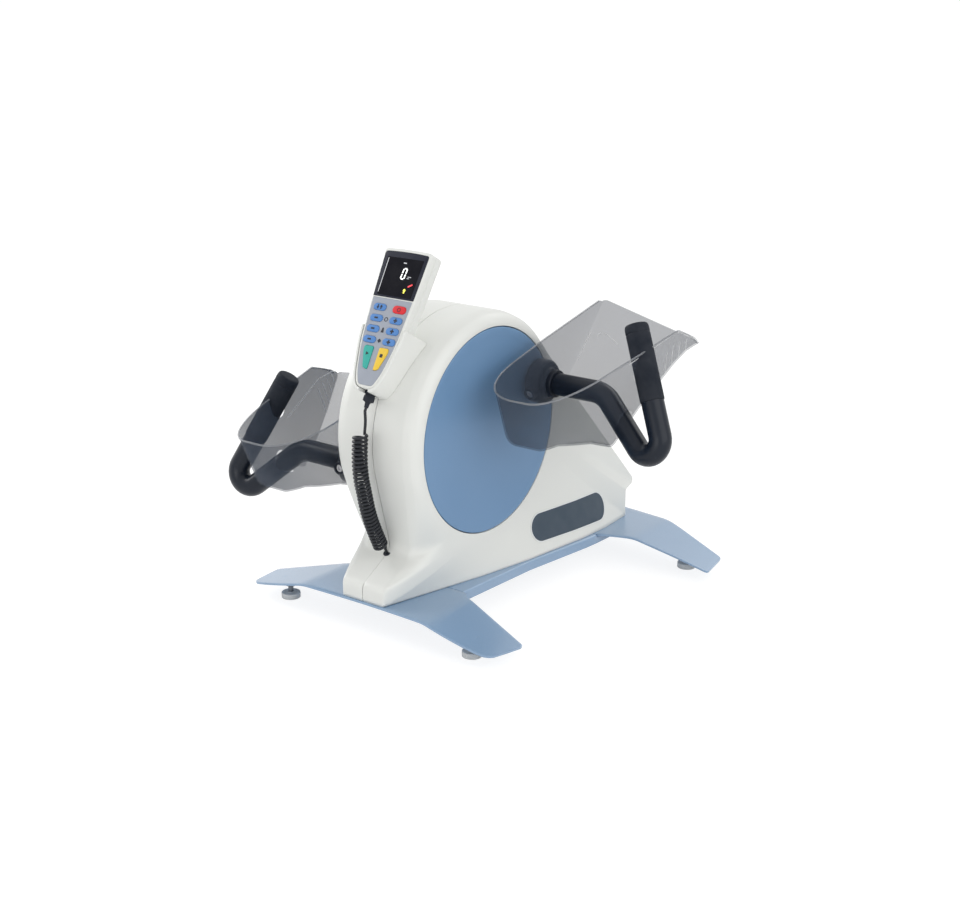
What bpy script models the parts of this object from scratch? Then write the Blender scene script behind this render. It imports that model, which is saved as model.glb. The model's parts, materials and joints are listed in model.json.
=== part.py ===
"""Active passive trainer: a motor driven crank trainer for legs and arms.

Frame: metres, +Z up, the floor at z = 0. The user sits at -Y and the handset faces them.
+X is the user's right, the side of the right pedal.
The origin is the centre of the footprint. The crank axis runs along X.
"""
import math

import bpy
import bmesh
import numpy as np
from mathutils import Matrix, Vector
from mathutils.bvhtree import BVHTree

# Clearances
GAP = 0.0003
RUN = 0.0001

# Crank axis and drum
AXIS_Y = -0.0691
AXIS_Z = 0.264
DRUM_R = 0.172
DRUM_EDGE_X = 0.054
DISC_R = 0.150
DISC_FACE_X = 0.0752
DISC_T = 0.006
DISC_CLEAR = 0.0015
WALL = 0.003

# Side outline of the housing, as distances from the crank axis
FOOT_FRONT = 0.199
FOOT_HALF_W = 0.038
FOOT_TOP_Z = 0.071
SLOPE_END_Y = -0.137
SLOPE_END_Z = 0.107
FACE_LEAN = math.radians(14.0)
TAIL_LEAN = math.radians(41.0)
LIP_Y = 0.358
LIP_Z = 0.103
LIP_T = 0.009
REAR_Y = 0.331
UNDERCUT_Z = 0.090
TAIL_HALF_W = 0.093
REAR_HALF_W = 0.098

# Base of folded sheet
SHEET = 0.003
BASE_TOP = 0.0467
FLANGE = 0.0145
FRONT_CREASE_X = 0.113
FRONT_TIP_Z = 0.0195
REAR_CREASE_X = 0.165
REAR_TIP_Z = 0.0205

# Levelling feet
PAD_R = 0.0142
PAD_H = 0.0085
STUD_R = 0.004
BOSS_R = 0.011
BOSS_H = 0.007
FRONT_FOOT = (0.1713, -0.1682)
REAR_FOOT = (0.2331, 0.2974)

# Crank, pins and swivelling hubs
CRANK_R = 0.1194
CRANK_ANGLE = math.radians(26.3)
SHAFT_R = 0.008
PIN_R = 0.010
HUB_R = 0.033
HUB_IN_X = 0.0790
HUB_OUT_X = 0.1005
SOCKET_R = 0.0205
SOCKET_OUT_X = 0.1150
CLAMP_R = 0.0095
CLAMP_TURN_RIGHT = math.radians(20.0)
CLAMP_TURN_LEFT = math.radians(0.0)

# Handle
TUBE_R = 0.0163
SLEEVE_R = 0.0174
SLEEVE_WALL = 0.0030
SLEEVE_CAP = 0.0045
ELBOW = (0.1970, 0.0, 0.0)
LOOP = (0.3520, -0.0505, -0.1320)
GRIP_TOP = (0.2374, 0.0163, 0.0985)
ELBOW_R = 0.045
LOOP_R = 0.0215
SLEEVE_LEN = 0.112

# Foot shell
SHELL_WALL = 0.003
SHELL_ROUND = 0.1067
TUBE_SLOT = 0.002
SHELL_IN_X = 0.1022
SHELL_IN_SPLAY = 0.0386
SHELL_OUT_X = 0.2616
SHELL_SPLAY = 0.1372
SHELL_HEEL = -0.1726
SHELL_TOE_RIGHT = 0.1500
SHELL_TOE_LEFT = 0.0807
SHELL_SLANT_RIGHT = 0.0175
SHELL_SLANT_LEFT = -0.0320
SHELL_RIM = 0.0702
SHELL_TIP = 0.0347
SHELL_TIP_RUN = 0.050
SHELL_DRAFT = 0.0179
SHELL_SOLE = ((0.005, 0.0160), (0.014, -0.0116), (0.035, -0.0120), (0.065, -0.0246), (0.095, -0.0371),
              (0.130, -0.0596))
SHELL_LIE_RIGHT = (math.radians(14.7), 0.0, 0.0)
SHELL_LIE_LEFT = (math.radians(13.7), 0.0652, -0.0011)

# Handset and cradle
SET_LEAN = math.radians(29.5)
SET_STANDOFF = 0.0351
SET_FACE = DRUM_R + SET_STANDOFF
SET_TOP = 0.1868
SET_BOTTOM = -0.0125
SET_T = 0.028
SET_SPLIT = 0.012
SET_TOP_HALF_W = 0.0415
SET_WIN_LOW = 0.1168
KEY_X = 0.0173
KEY_ROWS = (0.1020, 0.0862, 0.0707, 0.0553)
KEY_W = 0.0222
KEY_H = 0.0096
KEY_PROUD = 0.0010
KEY_TRAVEL = 0.0006
KEY_DEPTH = 0.0024
CRADLE_WALL = 0.0040
CRADLE_TOP = 0.0750
CRADLE_FIT = 0.0006

# Curly cord
CORD_R = 0.0021
COIL_R = 0.0092
COIL_TURNS = 32
COIL_POINTS = 8
CORD_ROUTE = ((-0.1960, 0.2900), (-0.1980, 0.2550), (-0.1960, 0.2290), (-0.1900, 0.2030),
              (-0.1830, 0.1750), (-0.1720, 0.1470), (-0.1578, 0.1168))
GROMMET_R = 0.0062
GROMMET_BACK = 0.0085

# Drive inside the housing
PLATE_X = 0.030
PLATE_T = 0.004
BEARING_R = 0.016
BEARING_W = 0.008
PULLEY_R = 0.060
PULLEY_W = 0.012
MOTOR_PULLEY_R = 0.014
MOTOR_Y = 0.135
MOTOR_Z = 0.150
MOTOR_R = 0.032
MOTOR_L = 0.034
BELT_T = 0.002

WHITE = (0.80, 0.80, 0.77)
DISC_BLUE = (0.13, 0.26, 0.45)
BASE_BLUE = (0.33, 0.46, 0.60)
BLACK = (0.018, 0.019, 0.024)
STEEL = (0.55, 0.55, 0.56)


def clear_scene():
    for old in list(bpy.data.objects):
        bpy.data.objects.remove(old, do_unlink=True)


def make_material(name, colour, roughness, metallic=0.0, alpha=1.0):
    mat = bpy.data.materials.new(name)
    mat.use_nodes = True
    shader = mat.node_tree.nodes["Principled BSDF"]
    shader.inputs["Base Color"].default_value = (*colour, 1.0)
    shader.inputs["Roughness"].default_value = roughness
    shader.inputs["Metallic"].default_value = metallic
    shader.inputs["Alpha"].default_value = alpha
    return mat


def empty_at(name, place, parent=None):
    """An empty on a joint's axis, which carries the pieces of one body."""
    empty = bpy.data.objects.new(name, None)
    bpy.context.collection.objects.link(empty)
    base = Vector(parent["place"]) if parent else Vector((0, 0, 0))
    empty.location = Vector(place) - base
    empty["place"] = tuple(place)
    if parent:
        empty.parent = parent
    return empty


def add_piece(name, verts, faces, mat, body=None, smooth=40.0):
    """A closed mesh from world coordinates, shaded smooth, carried by a body's empty."""
    mesh = bpy.data.meshes.new(name)
    mesh.from_pydata([tuple(v) for v in verts], [], [tuple(f) for f in faces])
    work = bmesh.new()
    work.from_mesh(mesh)
    bmesh.ops.remove_doubles(work, verts=work.verts, dist=1e-6)
    bmesh.ops.recalc_face_normals(work, faces=work.faces)
    work.to_mesh(mesh)
    work.free()
    mesh.shade_smooth()
    mesh.set_sharp_from_angle(angle=math.radians(smooth))
    piece = bpy.data.objects.new(name, mesh)
    bpy.context.collection.objects.link(piece)
    mesh.materials.append(mat)
    if body:
        mesh.transform(Matrix.Translation(-Vector(body["place"])))
        piece.parent = body
    return piece


def cutter(piece):
    piece.hide_render = True
    piece.display_type = "WIRE"
    return piece


def boolean(piece, tool, operation="DIFFERENCE"):
    step = piece.modifiers.new("cut", "BOOLEAN")
    step.operation = operation
    step.solver = "EXACT"
    step.object = cutter(tool)
    return piece


def bevel(piece, width, segments=1, angle=40.0):
    step = piece.modifiers.new("edge", "BEVEL")
    step.width = width
    step.segments = segments
    step.limit_method = "ANGLE"
    step.angle_limit = math.radians(angle)
    return piece


def basis(direction):
    """Two unit vectors square to a direction and to each other."""
    along = np.asarray(direction, float)
    along = along / np.linalg.norm(along)
    side = np.cross(along, (0.0, 0.0, 1.0))
    if np.linalg.norm(side) < 0.1:
        side = np.cross(along, (0.0, 1.0, 0.0))
    side = side / np.linalg.norm(side)
    return along, side, np.cross(along, side)


def ring_faces(rings, count, closed_ring=True, loop_rings=False):
    """Quads between rings of equal count, numbered ring by ring."""
    faces = []
    last = rings if loop_rings else rings - 1
    span = count if closed_ring else count - 1
    for r in range(last):
        nxt = (r + 1) % rings
        for k in range(span):
            far = (k + 1) % count
            faces.append((r * count + k, r * count + far, nxt * count + far, nxt * count + k))
    return faces


def lathe(name, profile, start, direction, mat, body=None, sides=32, ring=False):
    """A turned piece: profile holds (distance along the axis, radius) from one end to the other.

    A plain profile starts and ends on the axis with flat ends. A ring's profile is a closed loop.
    """
    along, u, v = basis(direction)
    turn = np.arange(sides) * 2 * math.pi / sides
    circle = np.outer(np.cos(turn), u) + np.outer(np.sin(turn), v)
    verts = []
    for t, r in profile:
        verts.extend(np.asarray(start) + along * t + circle * r)
    faces = ring_faces(len(profile), sides, True, ring)
    if not ring:
        faces.append(tuple(range(sides)))
        faces.append(tuple(range((len(profile) - 1) * sides, len(profile) * sides)))
    return add_piece(name, verts, faces, mat, body)


def rod(name, start, end, radius, mat, body=None, sides=24, chamfer=0.0):
    length = (Vector(end) - Vector(start)).length
    profile = [(0, radius), (length, radius)]
    if chamfer:
        profile = [(0, radius - chamfer), (chamfer, radius),
                   (length - chamfer, radius), (length, radius - chamfer)]
    return lathe(name, profile, start, Vector(end) - Vector(start), mat, body, sides)


def box(name, low, high, mat, body=None, edge=0.0):
    xs, ys, zs = zip(low, high)
    verts = [(xs[i], ys[j], zs[k]) for i in (0, 1) for j in (0, 1) for k in (0, 1)]
    faces = [(0, 1, 3, 2), (4, 6, 7, 5), (0, 4, 5, 1), (2, 3, 7, 6), (0, 2, 6, 4), (1, 5, 7, 3)]
    piece = add_piece(name, verts, faces, mat, body)
    return bevel(piece, edge) if edge else piece


def slab(name, outline, place, low, high, mat, body=None, edge=0.0, segments=1):
    """An outline of (u, v) points, extruded from low to high; place maps (u, v, w) to the world."""
    count = len(outline)
    verts = [place(u, v, w) for w in (low, high) for u, v in outline]
    faces = [(k, (k + 1) % count, count + (k + 1) % count, count + k) for k in range(count)]
    faces += [tuple(range(count)), tuple(range(count, 2 * count))]
    piece = add_piece(name, verts, faces, mat, body)
    return bevel(piece, edge, segments, 60.0) if edge else piece


def rounded(corners, radius, steps=3):
    """A closed outline with each corner turned into an arc of the given radius."""
    points = []
    count = len(corners)
    for k in range(count):
        here = np.array(corners[k], float)
        before = np.array(corners[k - 1], float) - here
        after = np.array(corners[(k + 1) % count], float) - here
        room = min(np.linalg.norm(before), np.linalg.norm(after)) * 0.48
        before = before / np.linalg.norm(before)
        after = after / np.linalg.norm(after)
        half = math.acos(max(-1.0, min(1.0, float(before @ after)))) / 2
        back = min(radius / math.tan(half), room)
        bend = back * math.tan(half)
        middle = (before + after) / np.linalg.norm(before + after)
        centre = here + middle * bend / math.sin(half)
        first = here + before * back - centre
        last = here + after * back - centre
        turn = math.atan2(first[0] * last[1] - first[1] * last[0], float(first @ last))
        for s in range(steps + 1):
            a = turn * s / steps
            c, n = math.cos(a), math.sin(a)
            points.append(tuple(centre + (first[0] * c - first[1] * n, first[0] * n + first[1] * c)))
    return points


def bent_path(corners, radii, spacing):
    """A path of straight runs joined by arcs, as points for a swept tube."""
    corners = [np.array(c, float) for c in corners]
    points = [corners[0]]
    for k in range(1, len(corners) - 1):
        here = corners[k]
        before = corners[k - 1] - here
        after = corners[k + 1] - here
        before = before / np.linalg.norm(before)
        after = after / np.linalg.norm(after)
        half = math.acos(float(before @ after)) / 2
        back = radii[k - 1] / math.tan(half)
        middle = (before + after) / np.linalg.norm(before + after)
        centre = here + middle * radii[k - 1] / math.sin(half)
        first = here + before * back - centre
        last = here + after * back - centre
        sweep = math.pi - 2 * half
        steps = max(3, round(radii[k - 1] * sweep / spacing))
        for s in range(steps + 1):
            f = s / steps
            points.append(centre + (first * math.sin((1 - f) * sweep) + last * math.sin(f * sweep))
                          / math.sin(sweep))
    points.append(corners[-1])
    return np.array(points)


def frames_along(path):
    """Unit vectors square to the path, carried along it without twist."""
    path = np.asarray(path, float)
    ahead = np.gradient(path, axis=0)
    ahead[0] = path[1] - path[0]
    ahead[-1] = path[-1] - path[-2]
    ahead /= np.linalg.norm(ahead, axis=1)[:, None]
    _, side, _ = basis(ahead[0])
    sides = []
    for step in ahead:
        side = side - step * float(side @ step)
        side = side / np.linalg.norm(side)
        sides.append(side)
    sides = np.array(sides)
    return sides, np.cross(ahead, sides)


def tube_rings(path, radii, sides):
    u, v = frames_along(path)
    turn = np.arange(sides) * 2 * math.pi / sides
    rings = [p + r * (np.outer(np.cos(turn), a) + np.outer(np.sin(turn), b))
             for p, r, a, b in zip(path, radii, u, v)]
    return rings


def swept(name, path, radii, mat, body=None, sides=12):
    rings = tube_rings(path, radii, sides)
    faces = ring_faces(len(rings), sides)
    faces += [tuple(range(sides)), tuple(range((len(rings) - 1) * sides, len(rings) * sides))]
    return add_piece(name, np.concatenate(rings), faces, mat, body)


def smooth_route(points, count):
    """A Catmull-Rom curve through the points, at equal steps along its length."""
    pts = np.array(points, float)
    ends = np.vstack([2 * pts[0] - pts[1], pts, 2 * pts[-1] - pts[-2]])
    fine = []
    for k in range(len(pts) - 1):
        a, b, c, d = ends[k:k + 4]
        for s in np.arange(24) / 24:
            fine.append(0.5 * (2 * b + (c - a) * s + (2 * a - 5 * b + 4 * c - d) * s ** 2
                               + (3 * b - 3 * c + d - a) * s ** 3))
    fine.append(pts[-1])
    fine = np.array(fine)
    steps = np.concatenate([[0], np.cumsum(np.linalg.norm(np.diff(fine, axis=0), axis=1))])
    want = np.linspace(0, steps[-1], count)
    return np.stack([np.interp(want, steps, fine[:, k]) for k in range(fine.shape[1])], axis=1)


def cord_curve(name, points, radius, mat, body=None, resolution=1):
    """A round cord on a poly spline, with closed ends."""
    curve = bpy.data.curves.new(name, "CURVE")
    curve.dimensions = "3D"
    curve.bevel_depth = radius
    curve.bevel_resolution = resolution
    curve.use_fill_caps = True
    curve.twist_mode = "MINIMUM"
    line = curve.splines.new("POLY")
    line.points.add(len(points) - 1)
    base = Vector(body["place"]) if body else Vector((0, 0, 0))
    for spot, point in zip(line.points, points):
        spot.co = (*(Vector(point) - base), 1.0)
    curve.materials.append(mat)
    piece = bpy.data.objects.new(name, curve)
    bpy.context.collection.objects.link(piece)
    if body:
        piece.parent = body
    return piece


def at(x, y, z):
    """A point given by its distance behind the crank axis and its height above the floor."""
    return (x, AXIS_Y + y, z)


# The housing: a loft between the side outline and the opening of the crank disc

def bottom_half_width(y):
    """Half width of the housing along its bottom edge."""
    marks = (-FOOT_FRONT, -0.016, 0.0756, 0.200, 0.262, REAR_Y)
    widths = (FOOT_HALF_W, 0.077, 0.0915, 0.1035, 0.1045, REAR_HALF_W)
    return float(np.interp(y, marks, widths))


def housing_outline():
    """Points round the side view: (y, z, edge half width, angle on the disc's rim, has a band).

    It starts at the bottom front corner and goes up the front, over the drum and down the tail.
    """
    bottom = BASE_TOP - 0.003
    spots = []

    def run(a, b, edge_a, edge_b, turn_a, turn_b, steps, power_a, power_b):
        for k in range(steps):
            f = k / steps
            spots.append((a[0] + (b[0] - a[0]) * f, a[1] + (b[1] - a[1]) * f,
                          edge_a + (edge_b - edge_a) * f, turn_a + (turn_b - turn_a) * f, True,
                          power_a + (power_b - power_a) * f))

    low = math.pi + FACE_LEAN
    lean_top = (DRUM_R * math.cos(low), AXIS_Z + DRUM_R * math.sin(low))
    tail_top = (DRUM_R * math.cos(TAIL_LEAN), AXIS_Z + DRUM_R * math.sin(TAIL_LEAN))
    foot_low = (-FOOT_FRONT, bottom)
    foot_top = (-FOOT_FRONT, FOOT_TOP_Z)
    slope_end = (SLOPE_END_Y, SLOPE_END_Z)
    lip_top = (LIP_Y, LIP_Z)
    lip_low = (LIP_Y, LIP_Z - LIP_T)
    undercut = (REAR_Y, UNDERCUT_Z)
    rear_low = (REAR_Y, bottom)
    deg = math.radians
    run(foot_low, foot_top, FOOT_HALF_W, FOOT_HALF_W, deg(258), deg(250), 2, 1, 1)
    run(foot_top, slope_end, FOOT_HALF_W, FOOT_HALF_W, deg(250), deg(235), 4, 1, 1)
    run(slope_end, lean_top, FOOT_HALF_W, DRUM_EDGE_X, deg(235), deg(200), 5, 1, 2)
    arc = 20
    for k in range(arc + 1):
        f = k / arc
        a = low + (TAIL_LEAN - low) * f
        spots.append((DRUM_R * math.cos(a), AXIS_Z + DRUM_R * math.sin(a), DRUM_EDGE_X,
                      deg(200) + (deg(42) - deg(200)) * f, True, 2))
    run(tail_top, lip_top, DRUM_EDGE_X, TAIL_HALF_W, deg(42), deg(-8), 8, 2, 1.15)
    del spots[-8]
    run(lip_top, lip_low, TAIL_HALF_W, TAIL_HALF_W, deg(-8), deg(-11), 1, 1.15, 1.1)
    run(lip_low, undercut, TAIL_HALF_W, REAR_HALF_W, deg(-11), deg(-15), 1, 1.1, 1)
    run(undercut, rear_low, REAR_HALF_W, REAR_HALF_W, deg(-15), deg(-24), 2, 1, 1)
    steps = 13
    for k in range(steps):
        f = k / steps
        y = REAR_Y + (-FOOT_FRONT - REAR_Y) * f
        spots.append((y, bottom, bottom_half_width(y), deg(-24) + (deg(258 - 360) - deg(-24)) * f,
                      k == 0, 1))
    return spots


BAND_RINGS = 1
WALL_RINGS = 5


def housing_mesh():
    """Rings of the right half's outer skin, from the middle plane to the disc's opening."""
    spots = housing_outline()
    middle = GAP / 2
    rings = []
    for k in range(BAND_RINGS):
        f = k / BAND_RINGS
        rings.append([at(middle + (edge - middle) * f, y, z) for y, z, edge, *_ in spots])
    opening = DISC_R + DISC_CLEAR
    for k in range(WALL_RINGS + 1):
        f = k / WALL_RINGS
        ring = []
        for y, z, edge, turn, _, power in spots:
            rise = (1 - (1 - f) ** 2) ** (1 / power)
            x = edge + (DISC_FACE_X - edge) * rise
            iy = opening * math.cos(turn)
            iz = AXIS_Z + opening * math.sin(turn)
            ring.append(at(x, y + (iy - y) * f, z + (iz - z) * f))
        rings.append(ring)
    count = len(spots)
    faces = []
    for r in range(len(rings) - 1):
        for k in range(count):
            far = (k + 1) % count
            if r < BAND_RINGS and not (spots[k][4] and spots[far][4]):
                continue
            faces.append((r * count + k, r * count + far, (r + 1) * count + far, (r + 1) * count + k))
    return [p for ring in rings for p in ring], faces


def housing_half(side, mat, body):
    """One half of the housing: the lofted skin with its wall turned inwards."""
    verts, faces = housing_mesh()
    verts = [(side * x, y, z) for x, y, z in verts]
    used = sorted({v for f in faces for v in f})
    index = {v: k for k, v in enumerate(used)}
    name = "housing_shell_right" if side > 0 else "housing_shell_left"
    mesh = bpy.data.meshes.new(name)
    mesh.from_pydata([verts[v] for v in used], [], [tuple(index[v] for v in f) for f in faces])
    work = bmesh.new()
    work.from_mesh(mesh)
    bmesh.ops.recalc_face_normals(work, faces=work.faces)
    top = max(work.faces, key=lambda f: f.calc_center_median().z)
    if top.normal.z < 0:
        bmesh.ops.reverse_faces(work, faces=work.faces)
    work.to_mesh(mesh)
    work.free()
    mesh.shade_smooth()
    mesh.set_sharp_from_angle(angle=math.radians(40))
    piece = bpy.data.objects.new(name, mesh)
    bpy.context.collection.objects.link(piece)
    mesh.materials.append(mat)
    piece.parent = body
    wall = piece.modifiers.new("wall", "SOLIDIFY")
    wall.thickness = WALL
    wall.offset = -1.0
    wall.use_even_offset = True
    trim = box("housing_trim", at(-0.2, -0.3, 0.0), at(0.2, 0.4, BASE_TOP + GAP), None)
    return boolean(piece, trim)


def wall_finder(side):
    """A function that gives the housing's outer skin at a point of its side view."""
    verts, faces = housing_mesh()
    tree = BVHTree.FromPolygons([Vector((side * x, y, z)) for x, y, z in verts], faces)

    def find(y, z):
        hit = tree.ray_cast(Vector((side * 0.4, AXIS_Y + y, z)), Vector((-side, 0, 0)))
        return abs(hit[0].x)
    return find


BADGE_LOW = (0.1140, 0.0858)
BADGE_HIGH = (0.2545, 0.0815)
BADGE_HALF_H = 0.0225
BADGE_T = 0.0011
BADGE_STEPS = 14


def badge_plate(side, mat, body):
    """A pill shaped plate that follows the housing's side wall."""
    find = wall_finder(side)
    low, high = np.array(BADGE_LOW), np.array(BADGE_HIGH)
    along = (high - low) / np.linalg.norm(high - low)
    up = np.array((-along[1], along[0]))
    outline = []
    for centre, start in ((low, math.pi / 2), (high, -math.pi / 2)):
        for k in range(BADGE_STEPS // 2 + 1):
            a = start + math.pi * k / (BADGE_STEPS // 2)
            outline.append(centre + BADGE_HALF_H * (along * math.cos(a) + up * math.sin(a)))
    columns = []
    left = outline[:BADGE_STEPS // 2 + 1]
    right = outline[BADGE_STEPS // 2 + 1:]
    half = BADGE_STEPS // 4
    for k in range(half + 1):
        columns.append((left[half - k], left[half + k]))
    straight = [((1 - f) * left[0] + f * right[-1], (1 - f) * left[-1] + f * right[0])
                for f in (0.2, 0.4, 0.6, 0.8)]
    columns += straight
    for k in range(half + 1):
        columns.append((right[-1 - k], right[k]))
    verts = []
    rows = 3
    for lift in (GAP, GAP + BADGE_T):
        for a, b in columns:
            for r in range(rows + 1):
                y, z = a + (b - a) * r / rows
                verts.append(at(side * (find(y, z) + lift), y, z))
    width = rows + 1
    length = len(columns)
    layer = width * length
    faces = []
    for c in range(length - 1):
        for r in range(rows):
            q = (c * width + r, c * width + r + 1, (c + 1) * width + r + 1, (c + 1) * width + r)
            faces += [q, tuple(layer + v for v in q)]
    edge = [c * width for c in range(length)]
    edge += [(length - 1) * width + r for r in range(1, width)]
    edge += [c * width + rows for c in reversed(range(length - 1))]
    edge += [r for r in reversed(range(1, rows))]
    for a, b in zip(edge, edge[1:] + edge[:1]):
        faces.append((a, b, layer + b, layer + a))
    name = "badge_plate_right" if side > 0 else "badge_plate_left"
    return add_piece(name, verts, faces, mat, body)


# The base of folded sheet

def folded_plate(name, outline, crease_x, tip, mat, body):
    """A flat plate whose wings fold down outside the creases; outline is its right half."""
    tip_x, tip_z = tip
    drop = (BASE_TOP - tip_z) / (tip_x - crease_x)

    def height(x):
        return BASE_TOP - max(0.0, abs(x) - crease_x) * drop

    right = [(x, y) for x, y in outline]
    cut = []
    for k, (x, y) in enumerate(right):
        cut.append((x, y))
        if k + 1 < len(right):
            nx, ny = right[k + 1]
            if (x - crease_x) * (nx - crease_x) < 0:
                f = (crease_x - x) / (nx - x)
                cut.append((crease_x, y + (ny - y) * f))
    left = [(-x, y) for x, y in reversed(cut)]
    ring = cut + left
    count = len(ring)
    crease = [k for k, (x, y) in enumerate(ring) if abs(abs(x) - crease_x) < 1e-9]
    verts = [at(x, y, height(x) - lift) for lift in (0.0, SHEET) for x, y in ring]
    a, b, c, d = crease
    panels = [tuple(range(a, b + 1)), tuple(range(c, d + 1)),
              tuple(range(b, c + 1)) + tuple(range(d, count)) + tuple(range(0, a + 1))]
    faces = panels + [tuple(count + k for k in p) for p in panels]
    faces += [(k, (k + 1) % count, count + (k + 1) % count, count + k) for k in range(count)]
    return add_piece(name, verts, faces, mat, body), height


def leg_plate_front(mat, body):
    outline = [(0.0, -0.2015), (0.060, -0.2025), (0.1456, -0.2057), (0.189, -0.2030), (0.214, -0.1985),
               (0.2225, -0.1890), (0.2325, -0.1375), (0.2300, -0.1320), (0.1672, -0.1145),
               (0.1060, -0.0985), (0.1000, -0.0930), (0.0975, -0.0860), (0.0, -0.0860)]
    plate, height = folded_plate("front_leg_plate", outline, FRONT_CREASE_X,
                                 (0.228, FRONT_TIP_Z), mat, body)
    return add_bosses(plate, height, FRONT_FOOT, body), height


def leg_plate_rear(mat, body):
    outline = [(0.0, 0.2280), (0.1120, 0.2280), (0.1180, 0.2330), (0.1360, 0.2410), (0.1565, 0.2491),
               (0.2430, 0.2550), (0.2880, 0.2550), (0.2935, 0.2600), (0.2880, 0.3080), (0.2840, 0.3150),
               (0.1717, 0.3530), (0.0728, 0.3650), (0.0, 0.3660)]
    plate, height = folded_plate("rear_leg_plate", outline, REAR_CREASE_X,
                                 (0.290, REAR_TIP_Z), mat, body)
    return add_bosses(plate, height, REAR_FOOT, body), height


def add_bosses(plate, height, foot, body):
    """Welded bosses under the wings, bored for the levelling studs."""
    for side in (-1, 1):
        x, y = side * foot[0], foot[1]
        under = height(x) - SHEET
        tool = rod("boss_form", at(x, y, under - BOSS_H), at(x, y, under + SHEET * 0.5), BOSS_R, None,
                   None, 16)
        boolean(plate, tool, "UNION")
        bore = rod("boss_bore", at(x, y, 0.0), at(x, y, under - 0.0005), STUD_R + RUN, None, None, 16)
        boolean(plate, bore)
    return plate


def levelling_foot(tag, side, foot, height, mats, body):
    x, y = side * foot[0], foot[1]
    under = height(x) - SHEET
    lathe("foot_pad_" + tag, [(0, PAD_R - 0.001), (0.0012, PAD_R), (PAD_H - 0.0012, PAD_R),
                              (PAD_H, PAD_R - 0.0015)], at(x, y, 0), (0, 0, 1), mats["pad"], body, 16)
    rod("foot_stud_" + tag, at(x, y, PAD_H + GAP), at(x, y, under - 0.0010), STUD_R,
        mats["steel"], body, 12)


def base_channel(mat, body):
    """The long channel between the legs, its flanges turned down, its ends lowered under the plates."""
    under = BASE_TOP - SHEET - GAP
    marks = ((-0.190, 0.060, under), (-0.0857, 0.0915, under), (-0.0845, 0.0918, BASE_TOP),
             (0.070, 0.0960, BASE_TOP), (0.200, 0.1100, BASE_TOP), (0.2265, 0.1115, BASE_TOP),
             (0.2277, 0.1115, under), (0.350, 0.1120, under))
    count = len(marks)
    section = []
    for y, w, top in marks:
        inner = w - SHEET
        low = BASE_TOP - FLANGE
        section.append([at(-w, y, low), at(-w, y, top - 0.003), at(-w + 0.003, y, top),
                        at(w - 0.003, y, top), at(w, y, top - 0.003), at(w, y, low),
                        at(inner, y, low), at(inner, y, top - SHEET), at(-inner, y, top - SHEET),
                        at(-inner, y, low)])
    sides = len(section[0])
    faces = ring_faces(count, sides)
    faces += [tuple(range(sides)), tuple(range((count - 1) * sides, count * sides))]
    return add_piece("base_channel", [p for ring in section for p in ring], faces, mat, body)


# The drive inside the housing

def side_plate_outline():
    deck = BASE_TOP + GAP
    return [(-0.050, deck), (0.165, deck), (0.180, MOTOR_Z), (0.150, MOTOR_Z + 0.045),
            (0.040, AXIS_Z + 0.020), (0.020, AXIS_Z + 0.034), (-0.020, AXIS_Z + 0.034),
            (-0.034, AXIS_Z)]


def frame_upright(mat, body):
    """Two side plates on a bottom plate, bored for the bearings and for the motor's shaft."""
    deck = BASE_TOP + GAP
    low = slab("side_plate_form", side_plate_outline(), lambda y, z, x: at(x, y, z),
               PLATE_X, PLATE_X + PLATE_T, None)
    other = slab("side_plate_form_left", side_plate_outline(), lambda y, z, x: at(x, y, z),
                 -PLATE_X - PLATE_T, -PLATE_X, None)
    piece = box("frame_upright", at(-PLATE_X - 0.001, -0.050, deck), at(PLATE_X + 0.001, 0.165, deck + PLATE_T),
                mat, body)
    boolean(piece, low, "UNION")
    boolean(piece, other, "UNION")
    reach = PLATE_X + PLATE_T + 0.01
    boolean(piece, rod("bearing_bore", at(-reach, 0, AXIS_Z), at(reach, 0, AXIS_Z),
                       BEARING_R + GAP, None, None, 24))
    boolean(piece, rod("motor_bore", at(0, MOTOR_Y, MOTOR_Z), at(reach, MOTOR_Y, MOTOR_Z),
                       0.009, None, None, 24))
    return piece


def bearing(side, mat, body):
    name = "bearing_right" if side > 0 else "bearing_left"
    middle = PLATE_X + PLATE_T / 2
    inner = SHAFT_R + RUN
    half = BEARING_W / 2
    profile = [(middle - half, inner), (middle + half, inner),
               (middle + half, BEARING_R), (middle - half, BEARING_R)]
    return lathe(name, [(side * t, r) for t, r in profile], at(0, 0, AXIS_Z), (1, 0, 0),
                 mat, body, 24, ring=True)


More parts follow.
